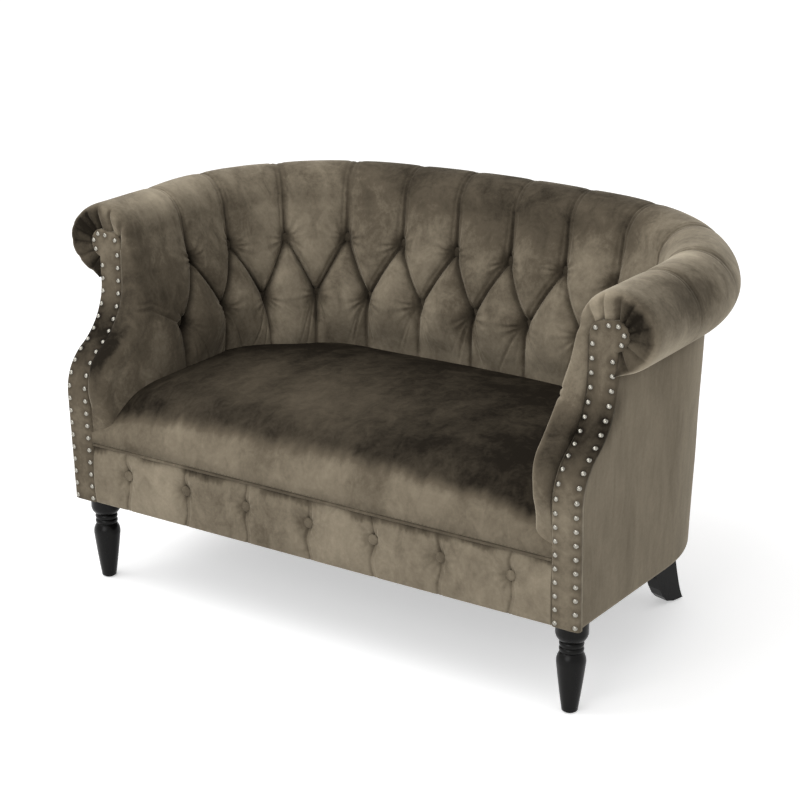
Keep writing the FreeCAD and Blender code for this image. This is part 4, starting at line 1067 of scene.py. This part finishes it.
class LOVESEAT_OT_panels(bpy.types.Operator):
    """Make the padded ogee panels at the front of the arms"""
    bl_idname = "loveseat.panels"
    bl_label = "Front panels"

    def execute(self, context):
        front = context.scene.loveseat_front
        pile = context.scene.loveseat_pile
        plan = Plan(context.scene.loveseat_wall, front)
        half = (front.panel_outer - front.panel_inner) / 2
        middle = front.panel_inner + half
        lobe_x = middle + front.lobe_shift
        lobe_z = front.round_height + front.lobe_rise
        top = lobe_z + front.lobe_radius - 0.0002
        low = np.linspace(front.body_floor, front.round_height - front.lobe_radius, 150)
        high = low[-1] + (top - low[-1]) * np.sin(np.linspace(0, math.pi / 2, 60)[1:])
        up = np.concatenate([low, high])
        rounded = np.sqrt(np.clip(half ** 2 - np.maximum(up - front.round_height, 0) ** 2, 0, None))
        lobed = np.sqrt(np.clip(front.lobe_radius ** 2 - (up - lobe_z) ** 2, 0, None))
        has_lobe = np.abs(up - lobe_z) < front.lobe_radius
        inner = np.where(up < front.round_height + half, middle - rounded, lobe_x - lobed)
        inner = np.where(has_lobe & (up > front.round_height), np.minimum(inner, lobe_x - lobed), inner)
        outer = np.where(up < front.round_height, front.panel_outer, middle + rounded)
        outer = np.where(has_lobe, np.maximum(outer, lobe_x + lobed), outer)
        across = np.linspace(0, 1, 27)
        from_middle = np.abs(2 * across - 1)
        crown = front.panel_crown * (1 - from_middle ** 3)
        edge = 0.0024 * np.clip(from_middle * 8 - 7, 0, 1) ** 2
        x = mix(inner[:, None], outer[:, None], across)
        y = Ogee(front).depth(up)[:, None] + edge - crown + plan.shift
        face = np.stack(np.broadcast_arrays(x, y, up[:, None]), -1)
        face[..., 1] += 0.0006 * rumple(face, 45.0, 9.0)
        behind = face + np.array([0, front.panel_thickness, 0])
        points = np.concatenate([behind[:, :1], face, behind[:, -1:], behind[:, :1]], 1)
        # The pile is darkened by painted shade in the hollow of the ogee, and round the nails by painted
        # shadow where they also press it down
        hollow = np.exp(-((up - front.hollow_height) / front.hollow_reach) ** 2)[:, None]
        hollow = hollow * (pile.panel_hollow_shade + 0.12 * rumple(points, 25.0, 17.0))
        faces = grid_faces(*points.shape[:2])
        for name, placed in (("right", points), ("left", points * MIRROR)):
            nails = dome_places(name + "_panel_nails")[0]
            gaps = np.linalg.norm(placed[:, :, None] - nails, axis=-1).min(-1)
            naps_and_shade = pile.panel - hollow - pile.panel_nails * np.exp(-(gaps / 0.0075) ** 2)
            obj = make_mesh(name + "_padded_panel", placed, faces, naps_and_shade)
            mend(obj, weld=True, fill=True)
            mount_piece(obj, bpy.data.materials["front_velvet"], "velvet", name + "_front_panel", fill=0.9)
        return {"FINISHED"}


class LOVESEAT_OT_cover(bpy.types.Operator):
    """Make the outside cover of the arms and back"""
    bl_idname = "loveseat.cover"
    bl_label = "Outside cover"

    def execute(self, context):
        wall = context.scene.loveseat_wall
        front = context.scene.loveseat_front
        pile = context.scene.loveseat_pile
        plan = Plan(wall, front)
        share = np.linspace(0, 1, 90)[:, None]
        outer, inner = (self.skin(plan, front, share, inward) for inward in (0.0, wall.cover_thickness))
        ripple = broad_rumple(outer, 3, 8.0, 21.0)
        swell = 0.0012 * ripple * np.sin(math.pi * share)
        outer = outer + (outer - inner) / wall.cover_thickness * swell[..., None]
        points = np.concatenate([outer, inner[::-1]], 0)
        # The cover gets painted shade under the roll and beside the panels' waists
        under_roll = wall.roll_height - wall.roll_radius
        level = mix(front.body_floor, under_roll, share)
        shaded = np.exp(-((under_roll - level) / (0.020 + 0.010 * ripple)) ** 2)
        runs = np.linspace(-1, 1, outer.shape[1])[None, :] * plan.arm_run
        beside = np.exp(-((level - 0.50) / 0.05) ** 2) * ease((np.abs(runs) - plan.arm_run + 0.05) / 0.05)
        naps_and_shade = np.full(points.shape[:2], pile.cover)
        naps_and_shade[:len(outer)] -= pile.cover_shade_under_roll * shaded + pile.cover_waist_shade * beside
        faces = grid_faces(len(points), points.shape[1], close_rows=True) + skin_ends(*outer.shape[:2])
        obj = make_mesh("outside_velvet", points, faces, naps_and_shade)
        mend(obj)
        mount_piece(obj, bpy.data.materials["cover_velvet"], "velvet", "outside_cover")
        return {"FINISHED"}

    def skin(self, plan, front, share, inward):
        """Points of one face of the cover, from the left panel round the back to the right one."""
        wall = plan.wall

        def section(along):
            backward = ease((plan.arm_run - np.abs(along)) / wall.side_run)
            head = mix(wall.cover_front, wall.cover_back, backward)
            top = plan.roll_height(along) - np.sqrt(wall.roll_radius ** 2 - head ** 2) + 0.002
            return mix(wall.cover_foot, head, share) - inward, mix(front.body_floor, top, share)

        bent = np.linspace(-plan.bend_end, plan.bend_end, 321)[None, :]
        middle = plan.place(bent, *section(bent))
        level = section(np.array([[plan.arm_run]]))[1]
        stop = plan.along_at(Ogee(front).depth(level) + front.panel_thickness * 0.6)
        straight = mix(plan.bend_end, stop, np.linspace(0, 1, 61)[1:][None, :])
        right = plan.place(straight, *section(straight))
        return np.concatenate([right[:, ::-1] * MIRROR, middle, right], 1)


def dome_places(name):
    """Middle of the back and facing of each separate dome of a CAD node."""
    work = bmesh.new()
    work.from_mesh(frame["nodes"][name].data)
    bmesh.ops.remove_doubles(work, verts=work.verts, dist=1e-6)
    left = dict.fromkeys(work.verts)
    middles = []
    facings = []
    while left:
        island = [left.popitem()[0]]
        for vertex in island:
            for edge in vertex.link_edges:
                other = edge.other_vert(vertex)
                if other in left:
                    del left[other]
                    island.append(other)
        spots = np.array([vertex.co for vertex in island])
        centre = spots.mean(0)
        axis = np.linalg.svd(spots - centre)[2][2]
        along = (spots - centre) @ axis
        reach = np.linalg.norm(spots - centre - along[:, None] * axis, axis=1)
        rim = along[reach > 0.95 * reach.max()].mean()
        facing = axis if rim < (along.min() + along.max()) / 2 else -axis
        middles.append(centre + axis * rim)
        facings.append(facing)
    work.free()
    return np.array(middles), np.array(facings)


def turned_shape(name, profile, sides, gather=0.0, folds=0):
    """Object turned about Z from a profile of (radius, height), with folds that run in to its middle."""
    turn = np.linspace(0, 2 * math.pi, sides + 1)[:-1]
    radius = np.array([spot[0] for spot in profile])[:, None]
    height = np.array([spot[1] for spot in profile])[:, None]
    lift = gather * np.cos(folds * turn)[None, :] * radius / radius.max()
    points = np.stack(np.broadcast_arrays(radius * np.cos(turn), radius * np.sin(turn), height + lift), -1)
    closed = np.concatenate([points, points[:, :1]], 1)
    obj = make_mesh(name, closed, grid_faces(*closed.shape[:2]), np.zeros(closed.shape[:2]))
    mend(obj, weld=True, fill=True)
    obj.data.shade_smooth()
    return obj


def set_on_points_tree():
    """Geometry nodes that set a shape on points along their facings, each turned at random."""
    tree = bpy.data.node_groups.new("Set on points", "GeometryNodeTree")
    for kind, label in (("Geometry", "Points"), ("Object", "Shape"), ("Float", "Size"), ("Int", "Seed"),
                        ("Material", "Material")):
        tree.interface.new_socket(label, in_out="INPUT", socket_type="NodeSocket" + kind)
    tree.interface.new_socket("Pieces", in_out="OUTPUT", socket_type="NodeSocketGeometry")
    source = tree.nodes.new("NodeGroupInput")
    result = tree.nodes.new("NodeGroupOutput")
    shape = add(tree, "GeometryNodeObjectInfo", {"Object": source.outputs["Shape"]})
    facing = add(tree, "GeometryNodeInputNamedAttribute", data_type="FLOAT_VECTOR")
    facing.inputs["Name"].default_value = "facing"
    align = add(tree, "FunctionNodeAlignRotationToVector", {"Vector": facing.outputs["Attribute"]}, axis="Z")
    chance = add(tree, "FunctionNodeRandomValue", {"Seed": source.outputs["Seed"]}, data_type="FLOAT")
    chance.inputs[3].default_value = 2 * math.pi
    turn = add(tree, "ShaderNodeCombineXYZ", {"Z": chance.outputs[1]})
    set_down = add(tree, "GeometryNodeInstanceOnPoints",
                   {"Points": source.outputs["Points"], "Instance": shape.outputs["Geometry"],
                    "Rotation": align.outputs["Rotation"], "Scale": source.outputs["Size"]})
    turned = add(tree, "GeometryNodeRotateInstances",
                 {"Instances": set_down.outputs[0], "Rotation": turn.outputs[0]})
    real = add(tree, "GeometryNodeRealizeInstances", {"Geometry": turned.outputs[0]})
    dressed = add(tree, "GeometryNodeSetMaterial",
                  {"Geometry": real.outputs[0], "Material": source.outputs["Material"]})
    tree.links.new(dressed.outputs[0], result.inputs["Pieces"])
    return tree


def set_on_points(name, node, shape, material, seed):
    """Plain mesh object with a shape set on each dome of a CAD node."""
    middles, facings = dome_places(node)
    points = make_mesh(name + "_points", middles, [])
    layer = points.data.attributes.new("facing", "FLOAT_VECTOR", "POINT")
    layer.data.foreach_set("vector", facings.astype(np.float32).ravel())
    tree = bpy.data.node_groups.get("Set on points") or set_on_points_tree()
    modifier = points.modifiers.new("set", "NODES")
    modifier.node_group = tree
    values = {"Shape": shape, "Size": 1.0, "Seed": seed, "Material": material}
    for item in tree.interface.items_tree:
        if item.in_out == "INPUT" and item.name in values:
            modifier[item.identifier] = values[item.name]
    evaluated = points.evaluated_get(bpy.context.evaluated_depsgraph_get())
    mesh = bpy.data.meshes.new_from_object(evaluated)
    points.modifiers.remove(modifier)
    bpy.data.objects.remove(points)
    obj = bpy.data.objects.new(name, mesh)
    bpy.context.scene.collection.objects.link(obj)
    return obj


class LOVESEAT_OT_buttons(bpy.types.Operator):
    """Set the covered buttons of the back, arms and border"""
    bl_idname = "loveseat.buttons"
    bl_label = "Buttons"

    def execute(self, context):
        trim = context.scene.loveseat_trim
        pile = context.scene.loveseat_pile
        turn = np.linspace(0, math.pi / 2, 9)
        profile = [(trim.button_radius * 0.8, -0.002)]
        profile += [(trim.button_radius * math.cos(bearing) ** 0.8, trim.button_height * math.sin(bearing))
                    for bearing in turn[:-1]]
        profile += [(0.0, trim.button_height * 0.96)]
        shape = turned_shape("button_shape", profile, sides=40, gather=0.0004, folds=10)
        # The wall's buttons are darkened with painted shade of the pits they sit in
        rows = (("upper_back_buttons", "wall_velvet", pile.wall_button_shade),
                ("lower_back_buttons", "wall_velvet", pile.wall_button_shade),
                ("border_buttons", "front_velvet", pile.border_button))
        for seed, (node, pile_name, lie) in enumerate(rows):
            material = bpy.data.materials[pile_name]
            obj = set_on_points(node.replace("buttons", "tuft_buttons"), node, shape, material, seed)
            obj.data.attributes["nap_and_shade"].data.foreach_set("value", np.full(len(obj.data.vertices), lie))
            mount_piece(obj, material, "velvet", node)
        bpy.data.objects.remove(shape)
        return {"FINISHED"}


class LOVESEAT_OT_nails(bpy.types.Operator):
    """Set the domed nails round the front panels"""
    bl_idname = "loveseat.nails"
    bl_label = "Nails"

    def execute(self, context):
        trim = context.scene.loveseat_trim
        turn = np.linspace(0, math.pi / 2, 8)
        profile = [(trim.nail_radius * 0.9, -0.001), (trim.nail_radius * 1.04, -0.0004),
                   (trim.nail_radius * 1.05, 0.0002)]
        profile += [(trim.nail_radius * math.cos(bearing), 0.0004 + trim.nail_height * math.sin(bearing))
                    for bearing in turn]
        shape = turned_shape("nail_shape", profile, sides=24)
        material = bpy.data.materials["nail_nickel_finish"]
        for seed, side in enumerate(("left", "right")):
            obj = set_on_points(side + "_domed_nails", side + "_panel_nails", shape, material, seed)
            mount_piece(obj, material, "nail_nickel", side + "_panel_nails")
        bpy.data.objects.remove(shape)
        return {"FINISHED"}


def soft_copy(name, node, spacing, move):
    """New piece on a CAD node's surface, cut into a close grid and moved by a function of each place."""
    work = bmesh.new()
    work.from_mesh(frame["nodes"][node].data)
    bmesh.ops.remove_doubles(work, verts=work.verts, dist=1e-5)
    low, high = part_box(node)
    for axis in range(3):
        for place in np.arange(low[axis] + spacing, high[axis], spacing):
            spot, facing = Vector(), Vector()
            spot[axis], facing[axis] = place, 1.0
            bmesh.ops.bisect_plane(work, geom=work.verts[:] + work.edges[:] + work.faces[:], plane_co=spot,
                                   plane_no=facing)
    for vertex in work.verts:
        vertex.co += Vector(move(vertex.co))
    mesh = bpy.data.meshes.new(name)
    work.to_mesh(mesh)
    work.free()
    obj = bpy.data.objects.new(name, mesh)
    bpy.context.scene.collection.objects.link(obj)
    return obj


class LOVESEAT_OT_linings(bpy.types.Operator):
    """Make the dust cover, the deck cloth, the wall's lining and the seat foam"""
    bl_idname = "loveseat.linings"
    bl_label = "Linings and foam"

    def execute(self, context):
        cloth = bpy.data.materials["inner_cloth_finish"]
        low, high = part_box("dust_cover")

        def sag(place):
            across = np.clip(1 - (place.x / high[0]) ** 2, 0, 1)
            deep = np.clip((place.y - low[1]) * (high[1] - place.y) / ((high[1] - low[1]) / 2) ** 2, 0, 1)
            return 0, 0, -0.004 * across * deep - 0.0006 * noise.noise(place * 25)

        def slack(place):
            return 0, 0, 0.0006 * noise.noise(place * 30)

        def pulled(place):
            return 0.0008 * noise.noise(place * 20), 0.0008 * noise.noise(place * 22 + Vector((5, 0, 0))), 0

        rails = ("front_rail", "back_rail", "left_side_rail", "right_side_rail")
        uprights = ("back_uprights", "left_arm_upright", "right_arm_upright")
        for name, node, spacing, move, rests_on in (
                ("dust_sheet", "dust_cover", 0.03, sag, rails),
                ("deck_sheet", "deck_cloth", 0.03, slack, ("zigzag_springs",)),
                ("lining_sheet", "wall_lining", 0.04, pulled, uprights)):
            sheet = soft_copy(name, node, spacing, move)
            mount_piece(sheet, cloth, "inner_cloth", node)
        foam = soft_copy("seat_foam_pad", "seat_foam", 0.03, slack)
        mount_piece(foam, bpy.data.materials["foam_finish"], "foam", "seat_foam", fill=1.0)
        return {"FINISHED"}


class LOVESEAT_OT_frame(bpy.types.Operator):
    """Give the legs, frame, springs and fittings their materials"""
    bl_idname = "loveseat.frame"
    bl_label = "Legs and frame"

    def execute(self, context):
        for entry in frame["record"]["subparts"]:
            obj = frame["nodes"][entry["node"]]
            material = bpy.data.materials.get(entry["material_slot"] + "_finish")
            if material is not None:
                for slot in obj.material_slots:
                    slot.link = "OBJECT"
                    slot.material = material
        return {"FINISHED"}


def seen_directly(tree):
    """1 where the camera, a reflection or a view through glass sees this background, else 0."""
    ray = tree.nodes.new("ShaderNodeLightPath").outputs
    seen = math_node(tree, "MAXIMUM", ray["Is Camera Ray"], ray["Is Glossy Ray"])
    return math_node(tree, "MAXIMUM", seen, ray["Is Transmission Ray"])


class LOVESEAT_OT_stage(bpy.types.Operator):
    """Set the floor, the soft lights and the camera"""
    bl_idname = "loveseat.stage"
    bl_label = "Stage"

    def execute(self, context):
        stage = context.scene.loveseat_stage
        self.lay_floor(stage)
        self.light_surround(context, stage)
        self.add_light(context, "key", power=stage.key, size=2.4,
                       place=Vector((-1.6, -1.2, 3.0)), target=Vector((0.0, 0.0, 0.4)))
        self.add_light(context, "fill", power=stage.fill, size=2.0,
                       place=Vector((0.2, -3.4, 1.7)), target=Vector((0.0, 0.0, 0.45)))
        self.set_camera(context, stage)
        context.scene.view_settings.view_transform = "Standard"
        return {"FINISHED"}

    def lay_floor(self, stage):
        half = 30.0
        corners = [(-half, -half, 0), (half, -half, 0), (half, half, 0), (-half, half, 0)]
        floor = make_mesh("pale_floor", corners, [(0, 1, 2, 3)])
        material, tree, shader, place = new_material("floor_paint")
        speck = noise_node(tree, place, Scale=3.0, Detail=2.0)
        tint = ramp(tree, speck, [(0.0, (0.90, 0.90, 0.90)), (1.0, (0.92, 0.92, 0.92))])
        tree.links.new(tint, shader.inputs["Base Color"])
        set_shader(shader, roughness=0.9, specular_ior_level=0.1)
        glow = math_node(tree, "MULTIPLY", seen_directly(tree), stage.floor_glow)
        white = add(tree, "ShaderNodeEmission", {"Strength": glow})
        both = tree.nodes.new("ShaderNodeAddShader")
        tree.links.new(shader.outputs[0], both.inputs[0])
        tree.links.new(white.outputs[0], both.inputs[1])
        tree.links.new(both.outputs[0], tree.nodes["Material Output"].inputs["Surface"])
        floor.data.materials.append(material)

    def light_surround(self, context, stage):
        """World that lights the object evenly, a little more from overhead, and is itself seen as white."""
        world = bpy.data.worlds.new("even_surround")
        context.scene.world = world
        world.use_nodes = True
        tree = world.node_tree
        direction = tree.nodes.new("ShaderNodeTexCoord").outputs["Generated"]
        upward = add(tree, "ShaderNodeSeparateXYZ", {"Vector": direction})
        height = math_node(tree, "MAXIMUM", upward.outputs["Z"], 0.0)
        glow = math_node(tree, "MULTIPLY_ADD", math_node(tree, "POWER", height, 2.0), stage.overhead)
        glow.node.inputs[2].default_value = stage.world
        seen = seen_directly(tree)
        lit = math_node(tree, "MULTIPLY", glow, math_node(tree, "SUBTRACT", 1.0, seen))
        background = tree.nodes["Background"].inputs
        background["Color"].default_value = (1.0, 1.0, 1.0, 1.0)
        tree.links.new(math_node(tree, "ADD", lit, seen), background["Strength"])

    def add_light(self, context, name, power, size, place, target):
        data = bpy.data.lights.new(name, "AREA")
        data.energy = power
        data.size = size
        light = bpy.data.objects.new(name, data)
        context.scene.collection.objects.link(light)
        light.location = place
        light.rotation_euler = (target - place).to_track_quat("-Z", "Y").to_euler()

    def set_camera(self, context, stage):
        data = bpy.data.cameras.new("camera")
        camera = bpy.data.objects.new("camera", data)
        context.scene.collection.objects.link(camera)
        data.lens = stage.lens
        data.sensor_width = 36.0
        data.clip_end = 100.0
        level = math.cos(stage.pitch)
        back = Vector((math.sin(stage.yaw) * level, -math.cos(stage.yaw) * level, math.sin(stage.pitch)))
        right = Vector((math.cos(stage.yaw), math.sin(stage.yaw), 0.0))
        pose = Matrix((right, back.cross(right), back)).transposed().to_4x4()
        pose = pose @ Matrix.Rotation(stage.roll, 4, "Z")
        pose.translation = (stage.camera_right, stage.camera_depth, stage.camera_height)
        camera.matrix_world = pose
        context.scene.camera = camera


class LOVESEAT_PT_main(bpy.types.Panel):
    """Sizes, looks and pieces of the loveseat"""
    bl_idname = "LOVESEAT_PT_main"
    bl_label = "Loveseat"
    bl_space_type = "VIEW_3D"
    bl_region_type = "UI"
    bl_category = "Loveseat"

    def draw(self, context):
        for operator in OPERATORS:
            self.layout.operator(operator.bl_idname)
        for label in GROUPS:
            group = getattr(context.scene, label)
            box = self.layout.box()
            for name in group.bl_rna.properties.keys():
                if name not in ("rna_type", "name"):
                    box.prop(group, name)


OPERATORS = (
    LOVESEAT_OT_materials, LOVESEAT_OT_wall, LOVESEAT_OT_seat, LOVESEAT_OT_border, LOVESEAT_OT_panels,
    LOVESEAT_OT_cover, LOVESEAT_OT_buttons, LOVESEAT_OT_nails, LOVESEAT_OT_linings, LOVESEAT_OT_frame,
    LOVESEAT_OT_stage)


def register():
    for group in GROUPS.values():
        bpy.utils.register_class(group)
    for label, group in GROUPS.items():
        setattr(bpy.types.Scene, label, bpy.props.PointerProperty(type=group))
    for operator in OPERATORS:
        bpy.utils.register_class(operator)
    bpy.utils.register_class(LOVESEAT_PT_main)


def unregister():
    bpy.utils.unregister_class(LOVESEAT_PT_main)
    for operator in reversed(OPERATORS):
        bpy.utils.unregister_class(operator)
    for label in GROUPS:
        delattr(bpy.types.Scene, label)
    for group in reversed(list(GROUPS.values())):
        bpy.utils.unregister_class(group)


def main():
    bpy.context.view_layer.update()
    register()
    bpy.ops.loveseat.materials()
    bpy.ops.loveseat.wall()
    bpy.ops.loveseat.seat()
    bpy.ops.loveseat.border()
    bpy.ops.loveseat.panels()
    bpy.ops.loveseat.cover()
    bpy.ops.loveseat.buttons()
    bpy.ops.loveseat.nails()
    bpy.ops.loveseat.linings()
    bpy.ops.loveseat.frame()
    bpy.ops.loveseat.stage()


if __name__ == "__main__":
    main()
